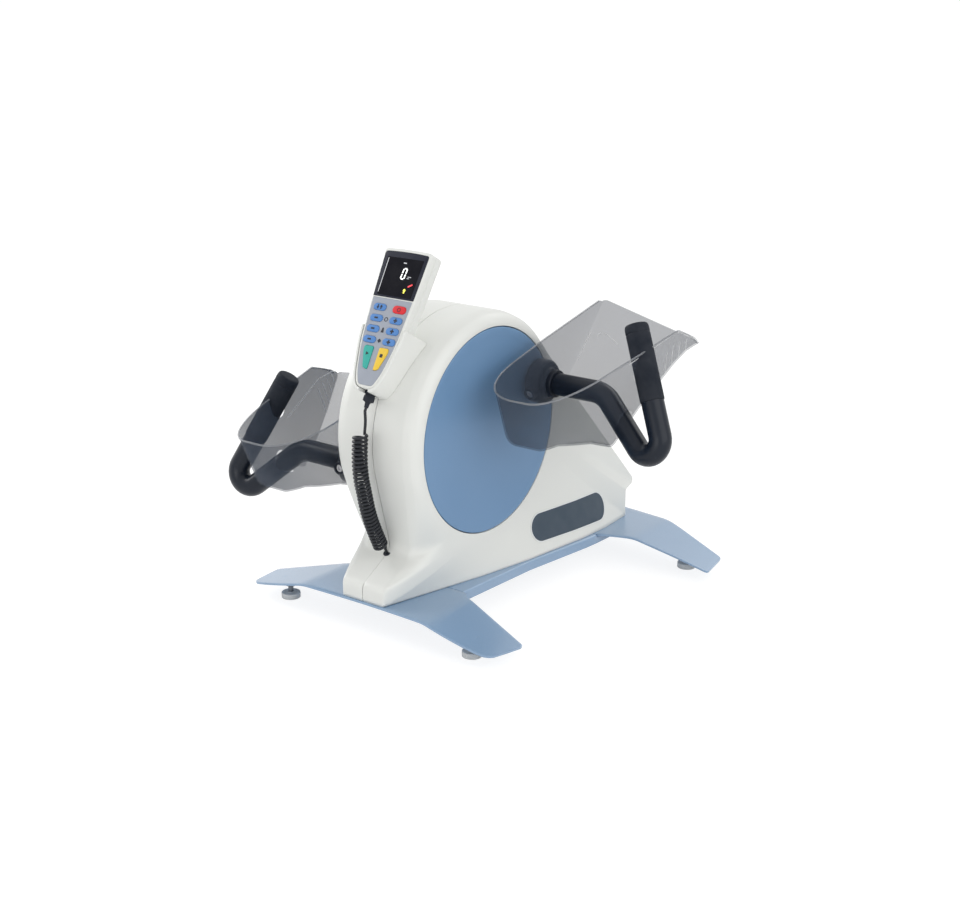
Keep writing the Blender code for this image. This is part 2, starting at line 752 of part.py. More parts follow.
def drive(mats, root, crank, motor_body):
    """Shaft, pulleys, belt and motor."""
    shaft_end = DISC_FACE_X - DISC_T - 0.012
    rod("crank_shaft", at(-shaft_end, 0, AXIS_Z), at(shaft_end, 0, AXIS_Z), SHAFT_R,
        mats["steel"], crank, 24)
    half = PULLEY_W / 2
    rim = PULLEY_R + 0.003
    bore = SHAFT_R + RUN
    profile = [(-half, bore), (half, bore), (half, rim), (half - 0.0015, rim),
               (half - 0.0015, PULLEY_R), (-half + 0.0015, PULLEY_R), (-half + 0.0015, rim), (-half, rim)]
    lathe("crank_pulley", profile, at(0, 0, AXIS_Z), (1, 0, 0), mats["black"], crank, 28, ring=True)
    small = MOTOR_PULLEY_R
    shaft_to = PLATE_X + PLATE_T + GAP
    profile = [(-half - 0.001, small + 0.002), (-half + 0.0015, small + 0.002), (-half + 0.0015, small),
               (half - 0.0015, small), (half - 0.0015, small + 0.002), (half + 0.001, small + 0.002),
               (half + 0.001, 0.005), (shaft_to + 0.006, 0.005)]
    lathe("motor_pulley", profile, at(0, MOTOR_Y, MOTOR_Z), (1, 0, 0), mats["steel"], motor_body, 16)
    drive_belt(mats["black"], root)
    start = PLATE_X + PLATE_T + GAP
    profile = [(start, MOTOR_R - 0.002), (start + 0.002, MOTOR_R), (start + MOTOR_L - 0.002, MOTOR_R),
               (start + MOTOR_L, MOTOR_R - 0.002)]
    motor = lathe("gear_motor", profile, at(0, MOTOR_Y, MOTOR_Z), (1, 0, 0), mats["steel"], root, 24)
    boolean(motor, rod("motor_shaft_bore", at(start - 0.01, MOTOR_Y, MOTOR_Z),
                       at(shaft_to + 0.008, MOTOR_Y, MOTOR_Z), 0.005 + RUN, None, None, 20))


def drive_belt(mat, body):
    """A flat belt round both pulleys, on their common outer tangents."""
    half = PULLEY_W / 2 - 0.0015 - GAP
    dy, dz = MOTOR_Y, MOTOR_Z - AXIS_Z
    span = math.hypot(dy, dz)
    heading = math.atan2(dz, dy)
    lean = math.acos((PULLEY_R - MOTOR_PULLEY_R) / span)
    steps_big, steps_small = 16, 6

    def loop(extra):
        points = []
        for centre, r, a, b, n in (((0.0, AXIS_Z), PULLEY_R, heading + lean,
                                    heading + 2 * math.pi - lean, steps_big),
                                   ((MOTOR_Y, MOTOR_Z), MOTOR_PULLEY_R, heading - lean,
                                    heading + lean, steps_small)):
            for k in range(n + 1):
                t = a + (b - a) * k / n
                reach = (r + extra) / math.cos((b - a) / n / 2) if extra < 0.001 else r + extra
                points.append((centre[0] + reach * math.cos(t), centre[1] + reach * math.sin(t)))
        return points

    inner, outer = loop(GAP), loop(GAP + BELT_T)
    count = len(inner)
    verts = [at(x, y, z) for x, ring in ((-half, inner), (half, inner), (half, outer), (-half, outer))
             for y, z in ring]
    return add_piece("drive_belt", verts, ring_faces(4, count, True, True), mat, body)


def control_board(mat, body):
    """The controller on four standoffs in the front foot of the housing."""
    deck = BASE_TOP + GAP
    board_z = deck + 0.008
    piece = box("control_board", at(-0.024, -0.180, board_z), at(0.024, -0.092, board_z + 0.0016),
                mat, body)
    for x in (-0.020, 0.020):
        for y in (-0.175, -0.097):
            boolean(piece, rod("standoff_form", at(x, y, deck), at(x, y, board_z + 0.001), 0.003,
                               None, None, 8), "UNION")
    for x, y, w, l, h in ((-0.012, -0.150, 0.006, 0.010, 0.007), (0.010, -0.150, 0.008, 0.014, 0.005),
                          (0.0, -0.115, 0.014, 0.009, 0.009)):
        boolean(piece, box("chip_form", at(x - w, y - l, board_z + 0.001),
                           at(x + w, y + l, board_z + h), None), "UNION")
    return piece


def transformer(mat, body):
    """A ring core transformer that stands on the base in the tail."""
    deck = BASE_TOP + GAP
    profile = [(0, 0.014), (0, 0.036), (0.005, 0.040), (0.029, 0.040), (0.034, 0.036), (0.034, 0.014)]
    return lathe("transformer", profile, at(0, 0.235, deck), (0, 0, 1), mat, body, 24, ring=True)


MAINS_X = 0.036
MAINS_Z = 0.068


def mains_inlet(mats, root, rocker, shells):
    """Appliance inlet and rocker switch in the rear wall."""
    wall_y = REAR_Y
    flange = 0.002
    face = wall_y + GAP + flange
    low_z, high_z = MAINS_Z - 0.0100, MAINS_Z + 0.0100
    inlet = box("mains_inlet", at(MAINS_X - 0.0155, wall_y + GAP, low_z - 0.002),
                at(MAINS_X + 0.0155, face, high_z + 0.002), mats["black"], root)
    boolean(inlet, box("inlet_body_form", at(MAINS_X - 0.0135, wall_y - 0.022, low_z),
                       at(MAINS_X + 0.0135, wall_y + 0.001, high_z), None), "UNION")
    boolean(inlet, box("inlet_mouth", at(MAINS_X - 0.0115, wall_y - 0.016, MAINS_Z - 0.0075),
                       at(MAINS_X + 0.0115, face + 0.01, MAINS_Z + 0.0075), None))
    switch = box("switch_frame", at(-MAINS_X - 0.0125, wall_y + GAP, low_z - 0.002),
                 at(-MAINS_X + 0.0125, face, high_z + 0.002), mats["black"], root)
    boolean(switch, box("switch_body_form", at(-MAINS_X - 0.0105, wall_y - 0.022, low_z),
                        at(-MAINS_X + 0.0105, wall_y + 0.001, high_z), None), "UNION")
    boolean(switch, box("switch_mouth", at(-MAINS_X - 0.0085, wall_y - 0.014, MAINS_Z - 0.0088),
                        at(-MAINS_X + 0.0085, face + 0.01, MAINS_Z + 0.0088), None))
    for side, shell, half in ((1, shells[1], 0.0135), (-1, shells[0], 0.0105)):
        hole = box("inlet_hole", at(side * MAINS_X - half - GAP, wall_y - 0.02, low_z - GAP),
                   at(side * MAINS_X + half + GAP, wall_y + 0.02, high_z + GAP), None)
        boolean(shell, hole)
    tilt = math.radians(9)
    reach = 0.0078
    y0 = wall_y - 0.004
    crown = [(-reach, 0.0052), (0.0, 0.0075), (reach, 0.0052), (reach, -0.004), (-reach, -0.004)]
    turned = [(math.cos(tilt) * a - math.sin(tilt) * b, math.sin(tilt) * a + math.cos(tilt) * b)
              for a, b in crown]
    slab("power_rocker", turned, lambda z, y, x: at(x, y0 + y, MAINS_Z + z),
         -MAINS_X - 0.0080, -MAINS_X + 0.0080, mats["black"], rocker)


# Crank discs, pins, hubs, handles and foot shells

def crank_disc(side, mats, crank):
    """The blue disc in the housing's side, with its boss on the shaft and the crank pin."""
    tag = "right" if side > 0 else "left"
    face = DISC_FACE_X
    end = face - DISC_T - 0.012
    rim = DISC_R - 0.0005
    profile = [(end + GAP, 0.022), (face - DISC_T, 0.026), (face - DISC_T, rim),
               (face - 0.0008, DISC_R), (face, DISC_R - 0.0012)]
    disc = lathe("crank_disc_" + tag, [(side * t, r) for t, r in profile], at(0, 0, AXIS_Z),
                 (1, 0, 0), mats["disc"], crank, 48)
    y, z = pin_place(side)
    boolean(disc, rod("pin_bore", (side * (face - 0.02), y, z), (side * (face + 0.02), y, z),
                      PIN_R * 0.7 + GAP, None, None, 16))
    flange = face + GAP
    profile = [(face - DISC_T - 0.006, 0.0135), (face - DISC_T - GAP, 0.0135),
               (face - DISC_T - GAP, PIN_R * 0.7), (flange, PIN_R * 0.7), (flange, 0.016),
               (HUB_IN_X - GAP, 0.016), (HUB_IN_X - GAP, PIN_R), (HUB_OUT_X + 0.0045, PIN_R),
               (HUB_OUT_X + 0.006, PIN_R - 0.0015)]
    lathe("crank_pin_" + tag, [(side * t, r) for t, r in profile], (0, y, z), (1, 0, 0),
          mats["steel"], crank, 16)


def pin_place(side):
    return (AXIS_Y + side * CRANK_R * math.cos(CRANK_ANGLE),
            AXIS_Z + side * CRANK_R * math.sin(CRANK_ANGLE))


def swivel_hub(side, mats, body):
    """The clamp hub that turns on the crank pin, with the handle's socket and a clamp boss."""
    tag = "right" if side > 0 else "left"
    y, z = pin_place(side)
    bore = PIN_R + RUN
    floor = HUB_OUT_X + 0.0065
    profile = [(HUB_IN_X, bore), (HUB_IN_X, HUB_R - 0.002), (HUB_IN_X + 0.002, HUB_R),
               (HUB_OUT_X - 0.003, HUB_R), (HUB_OUT_X, HUB_R - 0.003), (HUB_OUT_X, SOCKET_R),
               (SOCKET_OUT_X, SOCKET_R), (SOCKET_OUT_X, 0.0004), (floor, 0.0004), (floor, bore)]
    hub = lathe("swivel_hub_" + tag, [(side * t, r) for t, r in profile], (0, y, z), (1, 0, 0),
                mats["black"], body, 26, ring=True)
    turn = CLAMP_TURN_RIGHT if side > 0 else CLAMP_TURN_LEFT

    def out(reach):
        return (side * (HUB_IN_X + HUB_OUT_X) / 2, y - reach * math.cos(turn), z - reach * math.sin(turn))

    base = HUB_R * 0.72
    boolean(hub, rod("clamp_boss_form", out(base), out(HUB_R + 0.005), CLAMP_R, None, None, 20), "UNION")
    boolean(hub, rod("clamp_bore", out(base), out(HUB_R + 0.02), 0.0062, None, None, 16))
    facing = Vector(out(1.0)) - Vector(out(0.0))
    screw = lathe("clamp_screw_" + tag, [(0, 0.0034), (0.008, 0.0034), (0.008, 0.0056),
                                         (0.0115, 0.0056), (0.0122, 0.0048)],
                  out(base + GAP), facing, mats["steel"], body, 12)
    boolean(screw, rod("hex_recess", out(base + 0.009), out(base + 0.02), 0.0026, None, None, 6))
    return hub


def handle_path(side):
    y, z = pin_place(side)
    return [(side * p[0], y + p[1], z + p[2])
            for p in ((SOCKET_OUT_X + GAP, 0, 0), ELBOW, LOOP, GRIP_TOP)]


def handle(side, mats, body):
    tag = "right" if side > 0 else "left"
    path = bent_path(handle_path(side), (ELBOW_R, LOOP_R), 0.011)
    top = path[-1]
    down = path[-2] - top
    down = down / np.linalg.norm(down)
    wall = SLEEVE_R - SLEEVE_WALL
    core = wall - GAP
    cap = top - down * SLEEVE_CAP
    step = SLEEVE_LEN - SLEEVE_CAP + 0.0012
    path = np.vstack([path[:-1], top + down * step, top + down * (step - 0.0004), top])
    radii = [TUBE_R] * (len(path) - 2) + [core] * 2
    swept("handle_tube_" + tag, path, radii, mats["black"], body, 12)
    profile = [(0.0, 0.0004), (0.0, SLEEVE_R - 0.004), (0.0012, SLEEVE_R - 0.0012), (0.004, SLEEVE_R),
               (SLEEVE_LEN, SLEEVE_R), (SLEEVE_LEN + 0.0008, SLEEVE_R - 0.0005),
               (SLEEVE_LEN + 0.0008, wall), (SLEEVE_CAP - GAP, wall), (SLEEVE_CAP - GAP, 0.0004)]
    lathe("grip_sleeve_" + tag, profile, cap, down, mats["grip"], body, 16, ring=True)


def shell_sections(side):
    """Outlines of a foot tray, from the heel to the toe: where, both sides, both soles and rims.

    The left tray lies further forward on its hub, and its toe ends where it passes over the leg.
    """
    stations = (0.0, 0.010, 0.035, 0.075, 0.13, 0.20, 0.28, 0.415, 0.62, 0.82, 1.0)
    toe = SHELL_TOE_RIGHT if side > 0 else SHELL_TOE_LEFT
    toe_slant = SHELL_SLANT_RIGHT if side > 0 else SHELL_SLANT_LEFT
    length = toe - SHELL_HEEL
    middle = (SHELL_IN_X + SHELL_OUT_X) / 2
    half = (SHELL_OUT_X - SHELL_IN_X) / 2
    sections = []
    for f in stations:
        along = SHELL_HEEL + length * f
        back = max(0.0, 1 - f * length / SHELL_ROUND)
        swell = (1 - back ** 2.4) ** (1 / 2.4)
        left = middle - half * (0.10 + 0.90 * swell) + SHELL_IN_SPLAY * max(0.0, along)
        right = middle + half * (0.10 + 0.90 * swell) + SHELL_SPLAY * along * swell
        fall = max(0.0, along - toe + SHELL_TIP_RUN) / SHELL_TIP_RUN
        rim_out = SHELL_RIM - fall * (SHELL_RIM - SHELL_TIP)
        sections.append((along, left, right, sole_height(along, toe, SHELL_RIM),
                         sole_height(along, toe, SHELL_TIP), SHELL_RIM, rim_out, f * f * toe_slant))
    return sections


def sole_height(along, toe, toe_rim):
    """Height of the sole from the pin: lowest under the heel, and up to the rim at the toe."""
    marks = [(SHELL_HEEL, SHELL_RIM)] + [(SHELL_HEEL + behind, up) for behind, up in SHELL_SOLE]
    places, heights = zip(*marks, (toe, toe_rim - SHELL_WALL))
    return float(np.interp(along, places, heights))


def shell_ring(section, inset):
    """One U of the tray, at the wall's outer face or set in by the wall's thickness."""
    along, left, right, sole_in, sole_out, rim_in, rim_out, slant = section
    a, b = left + inset, right - inset
    floor_in = min(sole_in + inset, rim_in)
    floor_out = min(sole_out + inset, rim_out)
    draft = min(SHELL_DRAFT, 0.30 * (b - a)) * min(1.0, (rim_out - floor_out) / 0.10)
    corner_in = min(0.018, 0.30 * (b - a), 0.6 * (rim_in - floor_in))
    corner_out = min(0.018, 0.30 * (b - a), 0.6 * (rim_out - floor_out))
    low_a, low_b = a + draft * 0.3, b - draft
    points = [(a, rim_in), (a + (low_a - a) * 0.5, (rim_in + floor_in + corner_in) / 2),
              (low_a, floor_in + corner_in), (low_a + corner_in * 0.3, floor_in + corner_in * 0.3),
              (low_a + corner_in, floor_in), ((low_a + low_b) / 2, (floor_in + floor_out) / 2),
              (low_b - corner_out, floor_out), (low_b - corner_out * 0.3, floor_out + corner_out * 0.3),
              (low_b, floor_out + corner_out), (b + (low_b - b) * 0.5, (rim_out + floor_out + corner_out) / 2),
              (b, rim_out)]
    return [(x, along - slant * (x - left) / (right - left), up) for x, up in points]


def shell_to_world(side, point):
    """From (across, along, up) about the crank pin to the world, toes tilted up."""
    pitch, ahead, lift = SHELL_LIE_RIGHT if side > 0 else SHELL_LIE_LEFT
    across, along, up = point[0], point[1] + ahead, point[2] + lift
    y, z = pin_place(side)
    c, s = math.cos(pitch), math.sin(pitch)
    return (side * across, y + along * c - up * s, z + along * s + up * c)


def foot_shell(side, mats, body):
    """An open tray for the foot: a heel cup, a sole and two side walls, open at the toe."""
    tag = "right" if side > 0 else "left"
    sections = shell_sections(side)
    outer = [shell_ring(s, 0.0) for s in sections]
    inner = []
    for k, s in enumerate(sections):
        shift = SHELL_WALL if k == 0 else 0.0
        ring = shell_ring(s, SHELL_WALL)
        inner.append([(a, l + shift, u) for a, l, u in ring])
    for ring, inside in zip(outer, inner):
        inside[0] = (ring[0][0] + SHELL_WALL, inside[0][1], ring[0][2])
        inside[-1] = (ring[-1][0] - SHELL_WALL, inside[-1][1], ring[-1][2])
    width = len(outer[0])
    count = len(outer)
    verts = [shell_to_world(side, p) for ring in outer + inner for p in ring]
    layer = width * count
    faces = []
    for c in range(count - 1):
        for r in range(width - 1):
            q = (c * width + r, c * width + r + 1, (c + 1) * width + r + 1, (c + 1) * width + r)
            faces += [q, tuple(layer + v for v in q)]
    edge = [c * width for c in range(count)]
    edge += [(count - 1) * width + r for r in range(1, width)]
    edge += [c * width + width - 1 for c in reversed(range(count - 1))]
    edge += [r for r in reversed(range(1, width - 1))]
    for a, b in zip(edge, edge[1:] + edge[:1]):
        faces.append((a, b, layer + b, layer + a))
    shell = add_piece("foot_shell_" + tag, verts, faces, mats["smoke"], body)
    y, z = pin_place(side)
    boolean(shell, rod("socket_hole", (side * (HUB_OUT_X - 0.01), y, z), (side * 0.16, y, z),
                       SOCKET_R + GAP, None, None, 28))
    run = bent_path(handle_path(side), (ELBOW_R, LOOP_R), 0.02)
    rise = run[-1] - run[-2]
    run[-1] = run[-1] + rise / np.linalg.norm(rise) * 0.05
    boolean(shell, swept("tube_slot", run, [SLEEVE_R + TUBE_SLOT] * len(run), None, None, 16))
    return shell


# Handset, its keys and its cradle

def on_set(x, up, out):
    """From the handset's face: across, up along the face and out of it, to the world."""
    s, c = math.sin(SET_LEAN), math.cos(SET_LEAN)
    reach = SET_FACE + out
    return at(x, up * s - reach * c, AXIS_Z + up * c + reach * s)


def set_half_width(up):
    """Half width of the handset along its length."""
    marks = (SET_BOTTOM, -0.005, 0.010, 0.053, SET_WIN_LOW, SET_TOP)
    widths = (0.0120, 0.0195, 0.0245, 0.0335, 0.0382, SET_TOP_HALF_W)
    return float(np.interp(up, marks, widths))


def set_outline(grow=0.0, top=SET_TOP, low=SET_BOTTOM):
    """Outline of the handset, grown all round; top and low trim it."""
    marks = [low - grow, -0.005, 0.010, 0.053, SET_WIN_LOW, top - 0.006, top + grow * 0.7]
    marks = [m for m in marks if low - grow <= m <= top + grow]
    right = [(set_half_width(m) + grow, m) for m in marks]
    if top > SET_WIN_LOW:
        right[-1] = (right[-1][0] - 0.004, top + grow)
    right[0] = (set_half_width(low) + grow * 0.5, low - grow)
    return right + [(-x, m) for x, m in reversed(right)]


def handset(mats, body):
    """Front and back shell of the handset, the window and the keypad sheet."""
    front = slab("handset_front", set_outline(), on_set, -SET_SPLIT + GAP, 0.0, mats["white"], body,
                 0.0012)
    slab("handset_back", set_outline(-0.0006), on_set, -SET_T, -SET_SPLIT, mats["white"], body, 0.004)
    recess = 0.0009
    panel = panel_outline(0.0)
    boolean(front, slab("panel_recess", panel, on_set, -recess - GAP, 0.01, None))
    window = [(-set_half_width(SET_WIN_LOW) + 0.0028, SET_WIN_LOW),
              (set_half_width(SET_WIN_LOW) - 0.0028, SET_WIN_LOW)]
    window += [(set_half_width(0.178) - 0.0028, 0.1790), (0.030, 0.1818), (-0.030, 0.1818),
               (-set_half_width(0.178) + 0.0028, 0.1790)]
    boolean(front, slab("window_recess", window, on_set, -0.0025 - GAP, 0.01, None))
    inside = shrink(window, GAP)
    slab("display_window", inside, on_set, -0.0025, 0.0003, mats["window"], body)
    sheet = slab("keypad_overlay", shrink(panel, GAP), on_set, -recess, 0.0002, mats["overlay"], body)
    return front, sheet


def panel_outline(grow):
    """The recess of the keypad sheet under the window."""
    top = SET_WIN_LOW - 0.0012
    marks = (-0.0085, -0.004, 0.010, 0.053, top)
    right = [(set_half_width(m) - 0.0030 + grow, m) for m in marks]
    right[0] = (0.0130 + grow, marks[0] - grow)
    return right + [(-x, m) for x, m in reversed(right)]


def shrink(outline, by):
    """A convex outline drawn in towards its middle by a small distance on each side."""
    middle = np.mean(np.array(outline), axis=0)
    points = []
    for p in outline:
        d = np.array(p) - middle
        points.append(tuple(middle + d - np.sign(d) * by))
    return points


def pill(x, up, width, height, steps=3):
    r = height / 2
    reach = width / 2 - r
    points = []
    for centre, start in ((reach, -math.pi / 2), (-reach, math.pi / 2)):
        for k in range(steps + 1):
            a = start + math.pi * k / steps
            points.append((x + centre + r * math.cos(a), up + r * math.sin(a)))
    return points


def wedge(side):
    """The tall start and stop keys under the rows."""
    corners = [(0.0052, 0.0462), (0.0212, 0.0462), (0.0218, 0.0400), (0.0135, 0.0150), (0.0052, 0.0130)]
    points = rounded([(side * x, up) for x, up in corners], 0.0022, 2)
    return points if side > 0 else points[::-1]


def key_list():
    keys = [("key_direction", pill(-KEY_X, KEY_ROWS[0], KEY_W, KEY_H), "key_blue"),
            ("key_power", pill(KEY_X, KEY_ROWS[0], KEY_W + 0.001, KEY_H + 0.0012), "key_red")]
    for row, what in enumerate(("speed", "load", "time"), start=1):
        keys.append(("key_%s_minus" % what, pill(-KEY_X, KEY_ROWS[row], KEY_W, KEY_H), "key_blue"))
        keys.append(("key_%s_plus" % what, pill(KEY_X, KEY_ROWS[row], KEY_W, KEY_H), "key_blue"))
    keys.append(("key_start", wedge(-1), "key_green"))
    keys.append(("key_stop", wedge(1), "key_yellow"))
    return keys


def key_anchor(outline):
    middle = np.mean(np.array(outline), axis=0)
    return on_set(float(middle[0]), float(middle[1]), 0.0)


def keypad(mats, body, front, sheet):
    """Each key stands in a pocket that leaves room for its travel."""
    for name, outline, finish in key_list():
        holder = empty_at(name + "_axis", key_anchor(outline), body)
        floor = -KEY_DEPTH - KEY_TRAVEL - GAP
        pocket = slab(name + "_pocket", grow_outline(outline, GAP), on_set, floor, 0.01, None)
        boolean(front, pocket)
        boolean(sheet, pocket)
        slab(name, outline, on_set, -KEY_DEPTH, KEY_PROUD, mats[finish], holder, 0.0004)


def grow_outline(outline, by):
    """An outline pushed out along its own normals."""
    pts = np.array(outline)
    ahead = np.roll(pts, -1, axis=0) - np.roll(pts, 1, axis=0)
    ahead /= np.linalg.norm(ahead, axis=1)[:, None]
    normal = np.stack([ahead[:, 1], -ahead[:, 0]], axis=1)
    middle = pts.mean(axis=0)
    if np.sum(normal * (pts - middle)) < 0:
        normal = -normal
    return [tuple(p) for p in pts + normal * by]


def cradle(mats, body):
    """The holder for the handset: a cup that widens upwards, seated on the drum."""
    low = SET_BOTTOM - CRADLE_FIT
    outline = []
    marks = (low - CRADLE_WALL, -0.006, 0.010, 0.053, CRADLE_TOP)
    for m in marks:
        outline.append((set_half_width(m) + CRADLE_FIT + CRADLE_WALL, m))
    outline[0] = (0.0150, marks[0])
    outline = outline + [(-x, m) for x, m in reversed(outline)]
    back = DRUM_R * 0.85 - SET_FACE
    piece = slab("handset_cradle", outline, on_set, back, 0.0005, mats["white"], body, 0.0014)
    marks = (low, -0.005, 0.010, 0.053, CRADLE_TOP, CRADLE_TOP + 0.02)
    pocket = [(set_half_width(m) + CRADLE_FIT, m) for m in marks]
    pocket[0] = (set_half_width(SET_BOTTOM) + CRADLE_FIT, low)
    pocket = pocket + [(-x, m) for x, m in reversed(pocket)]
    boolean(piece, slab("cradle_pocket", pocket, on_set, -SET_T - CRADLE_FIT, 0.02, None))
    boolean(piece, slab("plug_slot", [(-0.0085, -0.04), (0.0085, -0.04), (0.0085, 0.0), (-0.0085, 0.0)],
                        on_set, -SET_T - CRADLE_FIT + 0.001, 0.02, None))
    boolean(piece, rod("drum_form", at(-0.08, 0, AXIS_Z), at(0.08, 0, AXIS_Z), DRUM_R + GAP,
                       None, None, 160))
    return piece


PLUG_OUT = -0.0174
PLUG_LEN = 0.0155
RELIEF_LEN = 0.0085


def cord_plug(mats, body):
    """The moulded plug under the handset, with its tapered relief."""
    top = SET_BOTTOM + 0.0006 - GAP
    half_w, half_t = 0.0070, 0.0050
    verts = []
    marks = ((top, 1.0), (top - PLUG_LEN * 0.8, 1.0), (top - PLUG_LEN, 0.62),
             (top - PLUG_LEN - 0.001, 0.42), (top - PLUG_LEN - RELIEF_LEN, 0.36))
    for up, scale in marks:
        verts += [on_set(sx * half_w * scale, up, PLUG_OUT + sz * half_t * scale)
                  for sx, sz in ((-1, -1), (1, -1), (1, 1), (-1, 1))]
    faces = ring_faces(len(marks), 4) + [(0, 1, 2, 3), tuple(range(16, 20))]
    return bevel(add_piece("cord_plug", verts, faces, mats["black"], body), 0.0007)


def grommet_place():
    """Centre and outward direction of the cord's grommet on the sloping foot."""
    down = np.array((-FOOT_FRONT - SLOPE_END_Y, FOOT_TOP_Z - SLOPE_END_Z))
    down = down / np.linalg.norm(down)
    centre = np.array((SLOPE_END_Y, SLOPE_END_Z)) + down * GROMMET_BACK
    out = np.array((down[1], -down[0]))
    return centre, out


def cord_grommet(mats, body, shells):
    """A rubber bush in the seam of the two shells."""
    centre, out = grommet_place()
    start = centre - out * (WALL + 0.002)
    step = WALL + 0.002
    bore = CORD_R + GAP
    neck = GROMMET_R - 0.0018
    profile = [(0, bore), (0, neck), (step + GAP, neck), (step + GAP, GROMMET_R),
               (step + 0.0016, GROMMET_R - 0.0006), (step + 0.0016, bore)]
    lathe("cord_grommet", profile, at(0, *start), (0, out[0], out[1]), mats["black"], body, 16, ring=True)
    hole_from = centre - out * 0.02
    hole_to = centre + out * 0.02
    for shell in shells:
        boolean(shell, rod("grommet_hole", at(0, *hole_from), at(0, *hole_to), neck + GAP,
                           None, None, 16))


def cord_points():
    """The whole cord: a straight lead from the plug, the curls, and a straight end in the grommet."""
    count = COIL_TURNS * COIL_POINTS + 1
    centre = np.array([(0.0, AXIS_Y + y, z) for y, z in smooth_route(CORD_ROUTE, count)])
    ahead = np.gradient(centre, axis=0)
    ahead /= np.linalg.norm(ahead, axis=1)[:, None]
    side = np.array((1.0, 0.0, 0.0))
    inward = np.cross(side, ahead)
    inward *= np.sign(inward[0][1])
    turn = np.arange(count) * 2 * math.pi / COIL_POINTS
    curls = centre + COIL_R * (np.cos(turn)[:, None] * inward + np.sin(turn)[:, None] * side)
    low = SET_BOTTOM + 0.0006 - GAP - PLUG_LEN - RELIEF_LEN - GAP
    lead = [on_set(0, low, PLUG_OUT), on_set(0, low - 2 * CORD_R, PLUG_OUT)]
    top = np.array(lead[-1])
    first = curls[0]
    bridge = smooth_route([top, top * 0.5 + first * 0.5 + np.array((0, 0.0012, 0.001)),
                           first + np.array((0, 0, 0.002))], 5)[1:-1]
    spot, out = grommet_place()
    mouth = np.array(at(0, *(spot + out * 0.0016)))
    line = np.array((0, out[0], out[1]))
    last = curls[-1]
    tail = [mouth + line * 0.0065, mouth + line * 0.0030, mouth, mouth - line * (WALL + 0.006)]
    tail = smooth_route([last, last * 0.45 + tail[0] * 0.55 + np.array((0, 0.0008, -0.0008)), tail[0]],
                        4)[1:-1].tolist() + [tuple(p) for p in tail]
    return [tuple(p) for p in lead] + [tuple(p) for p in bridge] + [tuple(p) for p in curls] \
        + [tuple(p) for p in tail]


def least_own_gap(points, radius):
    """The smallest space between parts of the cord that lie more than half a turn apart."""
    pts = np.array(points)
    apart = COIL_POINTS // 2 + 1
    least = 1.0
    for k in range(len(pts) - apart):
        least = min(least, float(np.min(np.linalg.norm(pts[k + apart:] - pts[k], axis=1))))
    return least - 2 * radius


